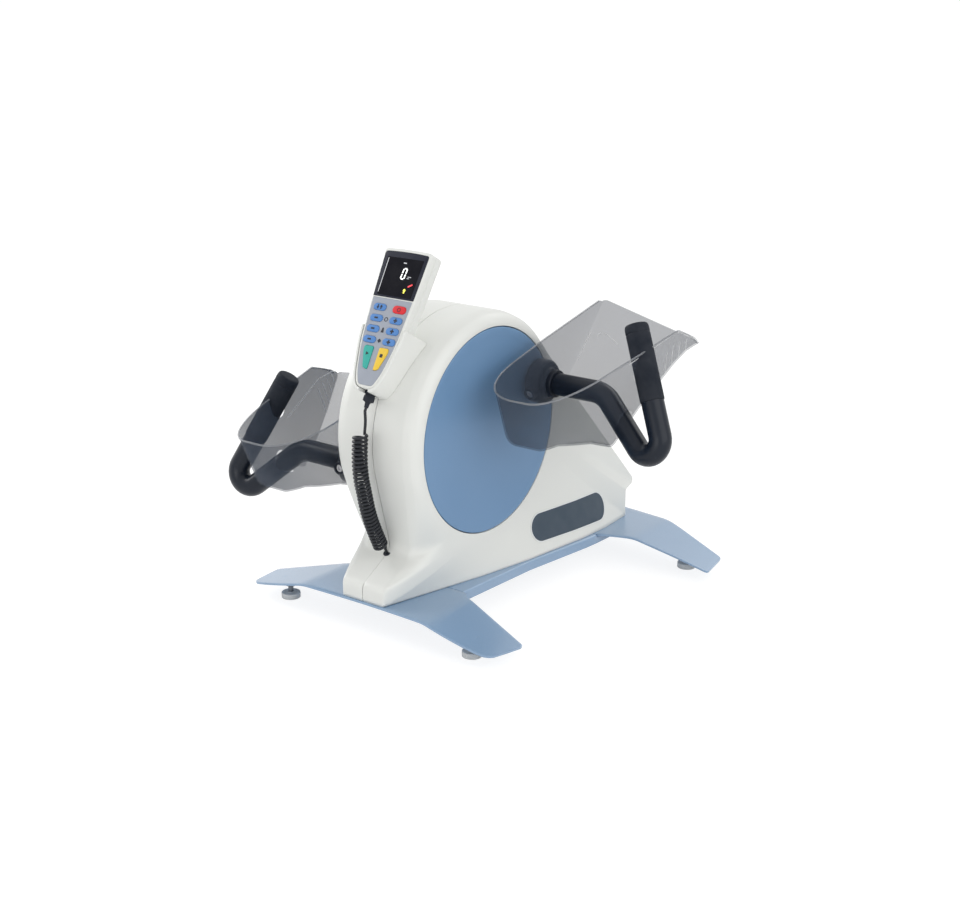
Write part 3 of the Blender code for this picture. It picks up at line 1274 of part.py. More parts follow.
def main():
    clear_scene()
    mats = {
        "white": make_material("white_plastic", WHITE, 0.42),
        "disc": make_material("blue_disc_plastic", DISC_BLUE, 0.38),
        "base": make_material("blue_powder_coat", BASE_BLUE, 0.45),
        "black": make_material("black_plastic", BLACK, 0.40),
        "grip": make_material("black_grip", BLACK, 0.55),
        "smoke": make_material("smoked_plastic", (0.10, 0.11, 0.13), 0.25, 0.0, 0.45),
        "steel": make_material("steel", STEEL, 0.35, 0.9),
        "pad": make_material("grey_foot_plastic", (0.45, 0.45, 0.45), 0.55),
        "window": make_material("display_glass", (0.01, 0.01, 0.02), 0.12),
        "overlay": make_material("grey_keypad", (0.36, 0.38, 0.42), 0.45),
        "badge": make_material("slate_badge", (0.05, 0.08, 0.12), 0.40),
        "board": make_material("green_board", (0.03, 0.16, 0.07), 0.5),
        "copper": make_material("copper_winding", (0.60, 0.28, 0.12), 0.4, 0.6),
        "key_blue": make_material("blue_key", (0.10, 0.25, 0.52), 0.4),
        "key_red": make_material("red_key", (0.60, 0.02, 0.03), 0.4),
        "key_green": make_material("green_key", (0.03, 0.38, 0.30), 0.4),
        "key_yellow": make_material("yellow_key", (0.78, 0.50, 0.04), 0.4),
    }
    root = empty_at("root_body", (0, 0, 0))
    crank = empty_at("crank_body", at(0, 0, AXIS_Z))
    motor_body = empty_at("motor_pulley_axis", at(0, MOTOR_Y, MOTOR_Z))
    rocker = empty_at("rocker_axis", at(-MAINS_X, REAR_Y - 0.004, MAINS_Z))
    set_body = empty_at("handset_body", on_set(0, SET_BOTTOM, 0))

    shells = [housing_half(-1, mats["white"], root), housing_half(1, mats["white"], root)]
    for side in (-1, 1):
        badge_plate(side, mats["badge"], root)
    base_channel(mats["base"], root)
    _, front_height = leg_plate_front(mats["base"], root)
    _, rear_height = leg_plate_rear(mats["base"], root)
    for tag, side, foot, height in (("front_left", -1, FRONT_FOOT, front_height),
                                    ("front_right", 1, FRONT_FOOT, front_height),
                                    ("rear_left", -1, REAR_FOOT, rear_height),
                                    ("rear_right", 1, REAR_FOOT, rear_height)):
        holder = empty_at("foot_axis_" + tag, at(side * foot[0], foot[1], 0))
        levelling_foot(tag, side, foot, height, mats, holder)

    frame_upright(mats["steel"], root)
    for side in (-1, 1):
        bearing(side, mats["steel"], root)
    drive(mats, root, crank, motor_body)
    control_board(mats["board"], root)
    transformer(mats["copper"], root)
    mains_inlet(mats, root, rocker, shells)

    for side in (-1, 1):
        crank_disc(side, mats, crank)
        y, z = pin_place(side)
        tag = "right" if side > 0 else "left"
        swivel = empty_at("swivel_axis_" + tag, (side * HUB_IN_X, y, z), crank)
        swivel_hub(side, mats, swivel)
        handle(side, mats, swivel)
        foot_shell(side, mats, swivel)

    cradle(mats, root)
    front, sheet = handset(mats, set_body)
    keypad(mats, set_body, front, sheet)
    cord_plug(mats, set_body)
    cord_grommet(mats, root, shells)
    points = cord_points()
    cord_curve("curly_cord", points, CORD_R, mats["black"], root)
    print("curly cord: least gap to itself %.2f mm, length %.3f m"
          % (1000 * least_own_gap(points, CORD_R),
             float(np.sum(np.linalg.norm(np.diff(np.array(points), axis=0), axis=1)))))
    print("crank axis y %.4f z %.4f" % (AXIS_Y, AXIS_Z))
    for side in (-1, 1):
        print("pin", side, "y %.5f z %.5f" % pin_place(side))
    for name, outline, _ in key_list():
        print(name, "anchor", tuple(round(c, 5) for c in key_anchor(outline)))


main()
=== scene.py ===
"""Looks of the active passive trainer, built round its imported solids.

The file is laid out as an add-on: sizes and colours are properties, each group of pieces is an
operator, and a panel lists them. It is run as a script. Lengths are metres, +Z is up, the user
sits at -Y, and the crank axis runs along X.
"""

import json
import math

import bmesh
import bpy
import numpy as np
from bpy.props import FloatProperty, FloatVectorProperty, PointerProperty
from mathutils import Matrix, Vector


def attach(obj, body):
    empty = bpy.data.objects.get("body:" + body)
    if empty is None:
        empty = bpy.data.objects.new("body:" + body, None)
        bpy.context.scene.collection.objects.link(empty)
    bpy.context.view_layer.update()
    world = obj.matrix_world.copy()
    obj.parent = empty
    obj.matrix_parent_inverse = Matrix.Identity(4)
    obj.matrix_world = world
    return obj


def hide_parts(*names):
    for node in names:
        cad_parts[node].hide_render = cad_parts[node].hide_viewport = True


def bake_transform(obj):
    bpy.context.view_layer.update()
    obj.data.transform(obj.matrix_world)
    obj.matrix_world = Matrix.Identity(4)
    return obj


bl_info = {
    "name": "Active passive trainer looks",
    "version": (1, 0, 0),
    "blender": (4, 5, 0),
    "location": "3D View > Sidebar > Trainer",
    "description": "Dresses the packed trainer with finished surfaces, stage and camera",
    "category": "Object",
}

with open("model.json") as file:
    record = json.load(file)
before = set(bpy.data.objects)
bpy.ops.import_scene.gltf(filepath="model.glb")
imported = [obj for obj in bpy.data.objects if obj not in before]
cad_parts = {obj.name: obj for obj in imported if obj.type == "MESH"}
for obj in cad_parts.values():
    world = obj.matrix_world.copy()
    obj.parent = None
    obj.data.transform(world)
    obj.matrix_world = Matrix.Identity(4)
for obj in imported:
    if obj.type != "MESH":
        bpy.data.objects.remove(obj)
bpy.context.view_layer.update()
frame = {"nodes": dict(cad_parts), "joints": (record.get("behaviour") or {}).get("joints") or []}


def joint_place(name):
    """Where a joint's axis stands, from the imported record."""
    return next(j["pos_m"] for j in frame["joints"] if j["name"] == name)


# Frame of the part, and the sizes that its solids share
AXIS_Y, AXIS_Z = joint_place("crank_spin")[1:]
PINS = {1: joint_place("swivel_right_turn")[1:], -1: joint_place("swivel_left_turn")[1:]}
TAGS = {1: "right", -1: "left"}
GAP = 0.0003
DRUM_R = 0.172
DRUM_EDGE_X = 0.054
DISC_R = 0.150
DISC_FACE_X = 0.0752
DISC_T = 0.006
DISC_CLEAR = 0.0015
WALL = 0.003
FOOT_FRONT = 0.199
FOOT_HALF_W = 0.038
FOOT_TOP_Z = 0.071
SLOPE_END = (-0.137, 0.107)
FACE_LEAN = math.radians(14.0)
TAIL_LEAN = math.radians(41.0)
LIP = (0.358, 0.103)
LIP_T = 0.009
REAR_Y = 0.331
UNDERCUT_Z = 0.090
TAIL_HALF_W = 0.093
REAR_HALF_W = 0.098
SHEET = 0.003
BASE_TOP = 0.0467
FLANGE = 0.0145
PAD_R = 0.0142
PAD_H = 0.0085
BOSS_R = 0.0110
BOSS_H = 0.0070
STUD_CLEAR = 0.0042
NUT_R = 0.0078
NUT_H = 0.0042
FRONT_FOOT = (0.1713, -0.1682)
REAR_FOOT = (0.2331, 0.2974)
FRONT_FOLD = (0.113, (0.228, 0.0195))
REAR_FOLD = (0.165, (0.290, 0.0205))
PIN_R = 0.010
HUB_R = 0.033
HUB_IN_X = 0.0790
HUB_OUT_X = 0.1005
SOCKET_R = 0.0205
SOCKET_OUT_X = 0.1150
CLAMP_R = 0.0095
CLAMP_TURN = {1: math.radians(20.0), -1: 0.0}
TUBE_R = 0.0163
SLEEVE_R = 0.0174
SLEEVE_WALL = 0.0030
SLEEVE_CAP = 0.0045
SLEEVE_LEN = 0.112
ELBOW = (0.1970, 0.0, 0.0)
LOOP = (0.3520, -0.0505, -0.1320)
GRIP_TOP = (0.2374, 0.0163, 0.0985)
ELBOW_R = 0.045
LOOP_R = 0.0215
SET_LEAN = math.radians(29.5)
SET_STANDOFF = 0.0351
SET_FACE = DRUM_R + SET_STANDOFF
SET_TOP = 0.1868
SET_BOTTOM = -0.0125
SET_T = 0.028
SET_SPLIT = 0.012
SET_WIN_LOW = 0.1168
CORD_R = 0.0021
COIL_R = 0.0092
COIL_TURNS = 32
CORD_ROUTE = ((-0.1960, 0.2900), (-0.1980, 0.2550), (-0.1960, 0.2290), (-0.1900, 0.2030),
              (-0.1830, 0.1750), (-0.1720, 0.1470), (-0.1578, 0.1168))

SHARP = math.radians(32.0)
MERGE = 2e-6


# Sizes and colours that a user would change

def colour_prop(name, what, default):
    return FloatVectorProperty(name=name, description=what, default=default, min=0.0, max=1.0,
                               subtype="COLOR", size=3)


def length_prop(name, what, default):
    return FloatProperty(name=name, description=what, default=default, min=0.0, max=1.0,
                         subtype="DISTANCE", unit="LENGTH", precision=4)


class TrainerSizes(bpy.types.PropertyGroup):
    """Sizes of the finish that the solids leave open."""
    edge_round: length_prop("Housing edge", "Rounding where the housing's band meets its sides", 0.0035)
    seam: length_prop("Seam", "Depth of the groove between the two housing halves", 0.0008)
    crease_round: length_prop("Sheet crease", "Radius of the folds in the legs", 0.010)
    rim_bead: length_prop("Shell rim", "Radius of the bead round a foot shell's rim", 0.0014)
    key_round: length_prop("Key edge", "Rounding of the key tops", 0.0006)
    grain: length_prop("Moulded grain", "Size of the fine grain on moulded covers", 0.0011)


class TrainerColours(bpy.types.PropertyGroup):
    """Colours of the finishes."""
    cover: colour_prop("Cover", "Off-white moulded covers", (0.735, 0.745, 0.715))
    disc: colour_prop("Disc", "Blue crank discs", (0.135, 0.262, 0.445))
    legs: colour_prop("Legs", "Powder coat of the base", (0.165, 0.295, 0.470))
    black: colour_prop("Black", "Handles, hubs and cord", (0.005, 0.009, 0.018))
    smoke: colour_prop("Smoke", "Body of the see-through foot shells", (0.050, 0.066, 0.096))
    panel: colour_prop("Panel", "Film under the keys", (0.330, 0.360, 0.420))
    key_blue: colour_prop("Blue keys", "Keys that change a value", (0.085, 0.235, 0.560))
    key_red: colour_prop("Red key", "Key that switches the handset", (0.700, 0.020, 0.030))
    key_green: colour_prop("Green key", "Key that starts", (0.030, 0.400, 0.340))
    key_yellow: colour_prop("Yellow key", "Key that stops", (0.830, 0.560, 0.045))
    badge: colour_prop("Badge", "Plate on the housing's side", (0.035, 0.058, 0.085))
    floor: colour_prop("Floor", "Pale studio floor", (0.86, 0.86, 0.86))


def sizes():
    return bpy.context.scene.trainer_sizes


def colours():
    return bpy.context.scene.trainer_colours


# Shader maths

class Wire:
    """A socket that takes part in sums: each operator adds one Math node."""

    def __init__(self, finish, socket):
        self.finish, self.socket = finish, socket

    def maths(self, operation, *values):
        return self.finish.add("Math", {"operation": operation}, *values)

    def __add__(self, other):
        return self.maths("ADD", self, other)

    def __sub__(self, other):
        return self.maths("SUBTRACT", self, other)

    def __rsub__(self, other):
        return self.maths("SUBTRACT", other, self)

    def __mul__(self, other):
        return self.maths("MULTIPLY", self, other)

    def __truediv__(self, other):
        return self.maths("DIVIDE", self, other)

    def above(self, edge):
        return self.maths("GREATER_THAN", self, edge)

    __radd__ = __add__
    __rmul__ = __mul__


class Finish:
    """A material whose nodes are written as expressions."""

    def __init__(self, name, **fixed):
        self.material = bpy.data.materials.new(name)
        self.material.use_nodes = True
        self.tree = self.material.node_tree
        self.shader = self.tree.nodes["Principled BSDF"]
        self.output = self.tree.nodes["Material Output"]
        self.set(**fixed)

    def add(self, kind, settings=None, *values, out=0, **named):
        """A node of a kind, its settings made first, then the values or links of its sockets."""
        node = self.tree.nodes.new("ShaderNode" + kind)
        for key, value in (settings or {}).items():
            if key == "stops":
                ramp = node.color_ramp
                while len(ramp.elements) < len(value):
                    ramp.elements.new(0.5)
                for element, (place, shade) in zip(ramp.elements, value):
                    element.position, element.color = place, (*shade, 1.0)
            else:
                setattr(node, key, value)
        pairs = list(enumerate(values)) + [(key.replace("_", " "), value) for key, value in named.items()]
        for key, value in pairs:
            self.feed(node.inputs[key], value)
        return Wire(self, node.outputs[out])

    def feed(self, socket, value):
        if isinstance(value, Wire):
            self.tree.links.new(value.socket, socket)
        elif hasattr(value, "__len__") and len(value) == 3 and socket.type == "RGBA":
            socket.default_value = (*value, 1.0)
        else:
            socket.default_value = value

    def set(self, **named):
        for key, value in named.items():
            self.feed(self.shader.inputs[key.replace("_", " ")], value)
        return self

    def place(self, scale=(1.0, 1.0, 1.0)):
        """Object coordinates, drawn out along the axes."""
        here = self.add("TexCoord", None, out=3)
        return self.add("Mapping", None, here, Scale=scale)

    def noise(self, size, detail=2.0, rough=0.5, stretch=(1.0, 1.0, 1.0)):
        """Noise whose features are about one size across, from 0 to 1."""
        return self.add("TexNoise", None, Vector=self.place(stretch), Scale=1.0 / size, Detail=detail,
                        Roughness=rough)

    def blend(self, part, first, second):
        """A colour between two, by a value from 0 to 1."""
        node = self.tree.nodes.new("ShaderNodeMix")
        node.data_type = "RGBA"
        self.feed(node.inputs["Factor"], part)
        self.feed(node.inputs["A"], first)
        self.feed(node.inputs["B"], second)
        return Wire(self, node.outputs["Result"])

    def bump(self, height, depth, strength=1.0):
        return self.add("Bump", None, Strength=strength, Distance=depth, Height=height)


def tint(colour, share):
    """A colour moved towards white for a share above 0, or towards black below it."""
    goal = 1.0 if share > 0 else 0.0
    return tuple(c + (goal - c) * abs(share) for c in colour)


def moulded(name, colour, rough=0.42, grain=0.0011, depth=0.00006, drift=0.05, coat=0.0):
    """Moulded plastic: fine spark grain with darker specks, and a soft drift of tone."""
    f = Finish(name, Coat_Weight=coat, Coat_Roughness=0.25)
    fine = f.noise(grain, 3.0, 0.6)
    broad = f.noise(0.09, 2.0)
    shade = f.blend(broad, tint(colour, -drift), tint(colour, drift * 0.5))
    f.set(Base_Color=f.blend(fine * 0.25, shade, tint(colour, -drift * 1.6)),
          Roughness=rough - 0.05 + 0.10 * fine + 0.04 * broad,
          Normal=f.bump(fine, depth))
    return f.material


def dulled(material, level=0.07):
    """A dark finish with its mirror share lowered, as a matt black has."""
    material.node_tree.nodes["Principled BSDF"].inputs["Specular IOR Level"].default_value = level
    return material


def coated(name, colour, rough=0.34):
    """Powder coat: orange peel, a fine speckle, and a gloss that pales it where it is seen at a low angle."""
    f = Finish(name, Coat_Weight=0.8, Coat_Roughness=0.16, Specular_IOR_Level=0.7)
    peel = f.noise(0.0028, 2.0, 0.45)
    speck = f.noise(0.0007, 1.0)
    broad = f.noise(0.12)
    shade = f.blend(broad, tint(colour, -0.05), tint(colour, 0.05))
    f.set(Base_Color=f.blend(speck * 0.22, shade, tint(colour, 0.25)),
          Roughness=rough + 0.10 * peel, Normal=f.bump(peel + 0.35 * speck, 0.00008))
    return f.material


def rubbery(name, colour, cell, rough=0.62):
    """Foam or rubber: small cells, dull, with worn patches that shine a little."""
    f = Finish(name)
    cells = f.add("TexVoronoi", None, Vector=f.place(), Scale=1.0 / cell)
    worn = f.noise(0.030, 3.0, 0.6)
    f.set(Base_Color=f.blend(worn, tint(colour, -0.10), tint(colour, 0.035)),
          Roughness=rough + 0.10 * cells - 0.14 * worn, Normal=f.bump(cells, 0.00010, 0.7))
    return f.material


def brushed(name, colour, rough=0.30, stretch=(1.0, 12.0, 12.0)):
    """Plated steel with drawn marks along one axis."""
    f = Finish(name)
    marks = f.noise(0.006, 4.0, 0.7, stretch)
    cloud = f.noise(0.018)
    f.set(Base_Color=f.blend(cloud, tint(colour, -0.15), tint(colour, 0.10)), Metallic=1.0,
          Roughness=rough + 0.14 * marks + 0.05 * cloud, Normal=f.bump(marks, 0.00003))
    return f.material


def smoked(name, colour, density, slope=0.0):
    """See-through smoked plastic: each face holds back some light, less of it with each metre towards +X."""
    f = Finish(name, Specular_IOR_Level=0.08)
    flow = f.noise(0.070, 1.0)
    across = f.add("SeparateXYZ", None, f.add("TexCoord", None, out=3))
    across = across - TRAY_MID_X * across.maths("SIGN", across)
    held = density + 0.03 * flow - slope * across
    f.set(Base_Color=f.blend(flow, tint(colour, -0.10), tint(colour, 0.04)),
          Alpha=held.maths("MAXIMUM", held, LEAST_DENSITY), Roughness=0.42 + 0.12 * flow)
    return f.material


def smoked_with_painted_highlight(name, colour):
    """The thicker bead of a foot shell and the raised lines in the tray: a paler smoke whose colour is a
    painted highlight of their edges, with a random drift.
    """
    f = Finish(name)
    flow = f.noise(0.02)
    f.set(Base_Color=f.blend(flow, colour, tint(colour, 0.10)), Alpha=0.38 + 0.10 * flow,
          Roughness=0.22 + 0.06 * flow)
    return f.material


def glassy(name, colour):
    """Dark glass with a faint film."""
    f = Finish(name, Specular_IOR_Level=0.08)
    film = f.noise(0.020, 3.0, 0.6)
    f.set(Base_Color=f.blend(film, colour, tint(colour, 0.015)), Roughness=0.10 + 0.06 * film)
    return f.material


def printed(name, colour, gloss=0.25):
    """A printed film: flat ink with a fine tooth."""
    f = Finish(name, Specular_IOR_Level=gloss)
    tooth = f.noise(0.0006, 1.0)
    broad = f.noise(0.03)
    f.set(Base_Color=f.blend(broad, tint(colour, -0.04), tint(colour, 0.04)),
          Roughness=0.40 + 0.12 * tooth, Normal=f.bump(tooth, 0.00002))
    return f.material


def lit(name, colour, power):
    """A lit segment of the display."""
    f = Finish(name, Emission_Strength=power)
    glow = f.noise(0.004)
    f.set(Base_Color=colour, Emission_Color=f.blend(glow, tint(colour, -0.10), colour), Roughness=0.4)
    return f.material


def wound(name, colour):
    """Lacquered wire laid side by side."""
    f = Finish(name, Metallic=0.7)
    turns = f.add("TexWave", {"bands_direction": "Z"}, Vector=f.place(), Scale=260.0, Distortion=0.6)
    cloud = f.noise(0.01)
    f.set(Base_Color=f.blend(turns, tint(colour, -0.35), colour), Roughness=0.30 + 0.12 * cloud,
          Normal=f.bump(turns, 0.0002))
    return f.material


FINISHES = {}


def make_finishes():
    """Every finish of the trainer, by the name that the pieces ask for."""
    c = colours()
    grain = sizes().grain
    black = tuple(c.black)
    made = {
        "cover": moulded("off_white_cover", tuple(c.cover), 0.40, grain, 0.00005, 0.03, 0.10),
        "disc": moulded("blue_disc_face", tuple(c.disc), 0.44, 0.0009, 0.00004, 0.05),
        "legs": coated("blue_powder_coat", tuple(c.legs)),
        "hub": dulled(moulded("black_nylon", black, 0.30, 0.0008, 0.00002, 0.03), 0.22),
        "tube": dulled(moulded("black_tube_coat", black, 0.28, 0.0016, 0.00001, 0.02), 0.25),
        "grip": dulled(rubbery("black_foam_grip", black, 0.0011)),
        "cord": dulled(rubbery("cord_sheath", tint(black, -0.4), 0.0006, 0.28), 0.22),
        "bush": dulled(rubbery("black_rubber", black, 0.0012, 0.50)),
        "smoke": smoked("smoked_wall", tuple(c.smoke), 0.29, 2.8),
        "sole": smoked("smoked_sole", tuple(c.smoke), 0.37),
        # The rim bead and the raised lines are given paler smoke than the tray, as a painted highlight of their
        # edges.
        "rim": smoked_with_painted_highlight("smoked_rim", tint(tuple(c.smoke), 0.25)),
        "etched": smoked_with_painted_highlight("smoked_ridge", tint(tuple(c.smoke), 0.85)),
        "steel": brushed("plated_steel", (0.55, 0.55, 0.57)),
        "dark_steel": brushed("blackened_steel", (0.12, 0.14, 0.17), 0.40),
        "pad": moulded("grey_foot_plastic", (0.62, 0.63, 0.63), 0.55, 0.0009, 0.00008, 0.08),
        "glass": glassy("display_glass", (0.001, 0.001, 0.005)),
        "bezel": printed("display_border", (0.006, 0.008, 0.022), 0.10),
        "panel": printed("keypad_film", tuple(c.panel)),
        "mark": printed("key_symbols", (0.008, 0.010, 0.020)),
        "badge": printed("slate_plate", tuple(c.badge)),
        "line": printed("badge_outline", (0.78, 0.80, 0.80)),
        "white_light": lit("lit_white", (0.92, 0.94, 0.92), 0.9),
        "red_light": lit("lit_red", (0.75, 0.05, 0.06), 0.8),
        "yellow_light": lit("lit_yellow", (0.85, 0.80, 0.10), 0.8),
        "grey_light": lit("lit_grey", (0.42, 0.43, 0.45), 0.5),
        "board": printed("coated_board", (0.03, 0.16, 0.07)),
        "copper": wound("copper_winding", (0.60, 0.28, 0.12)),
    }
    for shade in ("blue", "red", "green", "yellow"):
        made["key_" + shade] = dulled(moulded("key_" + shade, tuple(getattr(c, "key_" + shade)), 0.45,
                                              0.0006, 0.00003, 0.05), 0.25)
    FINISHES.clear()
    FINISHES.update(made)


# Meshes from arrays

def grid_faces(rows, cols, wrap_rows=False, wrap_cols=False, keep=None):
    """Quads of a grid of points numbered row by row, as one array of corner numbers."""
    r, c = np.meshgrid(np.arange(rows if wrap_rows else rows - 1),
                       np.arange(cols if wrap_cols else cols - 1), indexing="ij")
    far_r, far_c = (r + 1) % rows, (c + 1) % cols
    quads = np.stack([r * cols + c, r * cols + far_c, far_r * cols + far_c, far_r * cols + c], axis=-1)
    return quads[keep] if keep is not None else quads.reshape(-1, 4)


def piece(name, points, faces, finish):
    """A mesh piece: points joined where they meet, normals turned outwards, shaded smooth."""
    mesh = bpy.data.meshes.new(name)
    mesh.from_pydata(np.asarray(points, float).reshape(-1, 3).tolist(), [],
                     faces.tolist() if hasattr(faces, "tolist") else faces)
    work = bmesh.new()
    work.from_mesh(mesh)
    bmesh.ops.remove_doubles(work, verts=work.verts, dist=MERGE)
    bmesh.ops.dissolve_degenerate(work, edges=work.edges, dist=MERGE)
    bmesh.ops.recalc_face_normals(work, faces=work.faces)
    work.to_mesh(mesh)
    work.free()
    mesh.shade_smooth()
    mesh.set_sharp_from_angle(angle=SHARP)
    made = bpy.data.objects.new(name, mesh)
    bpy.context.scene.collection.objects.link(made)
    if finish:
        mesh.materials.append(FINISHES[finish])
    return made


def settle(made):
    """Turns a piece's modifiers into its mesh."""
    graph = bpy.context.evaluated_depsgraph_get()
    mesh = bpy.data.meshes.new_from_object(made.evaluated_get(graph))
    made.modifiers.clear()
    made.data = mesh
    mesh.shade_smooth()
    mesh.set_sharp_from_angle(angle=SHARP)
    return made


def thicken(made, wall, side=-1.0):
    step = made.modifiers.new("wall", "SOLIDIFY")
    step.thickness, step.offset, step.use_even_offset = wall, side, True
    return made


def round_edges(made, width, segments=2, angle=50.0):
    step = made.modifiers.new("edges", "BEVEL")
    step.width, step.segments = width, segments
    step.limit_method, step.angle_limit = "ANGLE", math.radians(angle)
    step.harden_normals = False
    return made


def carve(made, *tools, operation="DIFFERENCE", solver="EXACT"):
    """Cuts tools out of a piece, or joins them to it, and deletes them."""
    for tool in tools:
        step = made.modifiers.new("cut", "BOOLEAN")
        step.operation, step.solver, step.object = operation, solver, tool
    settle(made)
    if not made.data.polygons:
        raise RuntimeError("nothing is left of " + made.name)
    for tool in tools:
        bpy.data.objects.remove(tool, do_unlink=True)
    return made


def soften(points, radius, steps=5, closed=False):
    """A polyline in any number of dimensions with each corner turned into a parabola.

    The parabola leaves both sides at the corner's radius, or at 48% of the shorter side. Distances
    count the first two dimensions only, so that the others ride along.
    """
    p = np.asarray(points, float)
    back, ahead = np.roll(p, 1, 0) - p, np.roll(p, -1, 0) - p
    len_b = np.linalg.norm(back[:, :2], axis=1)
    len_a = np.linalg.norm(ahead[:, :2], axis=1)
    reach = np.minimum(np.broadcast_to(np.asarray(radius, float), len(p)),
                       0.48 * np.minimum(len_b, len_a))
    if not closed:
        reach[[0, -1]] = 0.0
    a = p + back * (reach / np.maximum(len_b, 1e-12))[:, None]
    b = p + ahead * (reach / np.maximum(len_a, 1e-12))[:, None]
    t = np.linspace(0, 1, steps + 1)[None, :, None]
    curve = ((1 - t) ** 2 * a[:, None] + 2 * t * (1 - t) * p[:, None] + t ** 2 * b[:, None])
    curve = curve.reshape(-1, p.shape[1])
    apart = np.linalg.norm(np.diff(curve, axis=0, prepend=curve[-1:] if closed else curve[:1] - 1), axis=1)
    return curve[apart > 1e-7]


def densify(points, spacing, measure=2):
    """A polyline cut so that no step is longer than the spacing; its own points are kept."""
    p = np.asarray(points, float)
    run = np.linalg.norm(np.diff(p[:, :measure], axis=0), axis=1)
    counts = np.maximum(1, np.ceil(run / spacing)).astype(int)
    start = np.repeat(np.arange(len(run)), counts)
    step = (np.arange(len(start)) - np.repeat(np.cumsum(counts) - counts, counts)) / counts[start]
    made = p[start] + (p[start + 1] - p[start]) * step[:, None]
    return np.vstack([made, p[-1:]])


def unit(vectors):
    v = np.asarray(vectors, float)
    return v / np.maximum(np.linalg.norm(v, axis=-1, keepdims=True), 1e-12)


def square_to(direction):
    """Two unit vectors square to a direction."""
    along = unit(direction)
    side = np.cross(along, (0.0, 0.0, 1.0))
    if np.linalg.norm(side) < 0.1:
        side = np.cross(along, (0.0, 1.0, 0.0))
    side = unit(side)
    return along, side, np.cross(along, side)


def angles(count):
    """Equal steps once round a circle."""
    return np.arange(count) * 2 * math.pi / count


def capped(count, radius):
    """Radii of an even tube that is closed at both ends."""
    radii = np.full(count, radius)
    radii[[0, -1]] = 0.0
    return radii


def turned(name, profile, start, direction, finish, sides=72, ring=False):
    """A surface of revolution: point(i, k) = start + t_i axis + r_i (u cos a_k + v sin a_k)."""
    along, u, v = square_to(direction)
    a = angles(sides)
    circle = np.cos(a)[:, None] * u + np.sin(a)[:, None] * v
    profile = np.asarray(profile, float)
    points = (np.asarray(start, float) + profile[:, None, :1] * along
              + profile[:, None, 1:2] * circle[None])
    return piece(name, points, grid_faces(len(profile), sides, ring, True), finish)


def tube_form(path, radii, hint=(0.0, 1.0, 0.0), sides=32):
    """A circle carried along a path: point(i, k) = p_i + r_i (n_i cos a_k + b_i sin a_k).

    n is the hint made square to the path, and b is square to both. A radius of 0 closes an end.
    """
    path = np.asarray(path, float)
    ahead = unit(np.gradient(path, axis=0))
    n = np.broadcast_to(np.asarray(hint, float), path.shape)
    n = unit(n - ahead * np.sum(n * ahead, axis=1, keepdims=True))
    b = np.cross(ahead, n)
    a = angles(sides)
    ring = np.cos(a)[None, :, None] * n[:, None] + np.sin(a)[None, :, None] * b[:, None]
    points = path[:, None] + np.broadcast_to(np.asarray(radii, float), len(path))[:, None, None] * ring
    return points.reshape(-1, 3), grid_faces(len(path), sides, False, True)


def tube(name, path, radii, finish, hint=(0.0, 1.0, 0.0), sides=32):
    return piece(name, *tube_form(path, radii, hint, sides), finish)


def bundle(name, forms, finish):
    """Several forms in one mesh: each one's corner numbers start after those before it."""
    starts = np.cumsum([0] + [len(points) for points, _ in forms[:-1]])
    faces = np.vstack([corners + start for (_, corners), start in zip(forms, starts)])
    return piece(name, np.vstack([points for points, _ in forms]), faces, finish)


def outward(outline):
    """Unit normals of a closed outline, pointing away from its middle."""
    p = np.asarray(outline, float)
    ahead = unit(np.roll(p, -1, 0) - np.roll(p, 1, 0))
    normal = np.stack([ahead[:, 1], -ahead[:, 0]], axis=1)
    return normal if np.sum(normal * (p - p.mean(0))) > 0 else -normal


def plate(name, outline, where, low, high, finish, edge=0.0, crown=0.0, steps=4):
    """An outline carried through a rounded edge: rings at depth e(1 - sin) drawn in by e(1 - cos).

    A crown lifts the middle of the top by so much over a dome that falls to the edge.
    """
    outline = np.asarray(outline, float)
    rings, heights = [outline, outline], [low, high]
    if edge:
        normal = outward(outline)
        q = np.linspace(0, math.pi / 2, steps + 1)
        rings = [outline - normal * edge * 0.6, outline]
        rings += [outline - normal * d for d in edge * (1 - np.cos(q))]
        heights = [low, low + edge * 0.6, *(high - edge + edge * np.sin(q))]
    top, middle = rings[-1], rings[-1].mean(0)
    for share in (0.75, 0.45, 0.15, 0.0):
        rings.append(middle + (top - middle) * share)
        heights.append(high + crown * (1 - share ** 2))
    rings.insert(0, np.repeat(middle[None], len(outline), 0))
    heights.insert(0, low)
    flat = np.array(rings)
    w = np.broadcast_to(np.array(heights)[:, None], flat.shape[:2])
    points = where(flat[..., 0], flat[..., 1], w)
    return piece(name, points, grid_faces(len(rings), len(outline), False, True), finish)


def at(x, y, z):
    """Points given by their distance behind the crank axis and their height above the floor."""
    return np.stack(np.broadcast_arrays(np.asarray(x, float), AXIS_Y + np.asarray(y, float), z), axis=-1)


def done(made, body, slot, *nodes):
    """Gives a finished piece its body and hides the solids that it stands for; the slot is not used."""
    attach(made, body)
    if nodes:
        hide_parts(*nodes)
    return made


# Housing

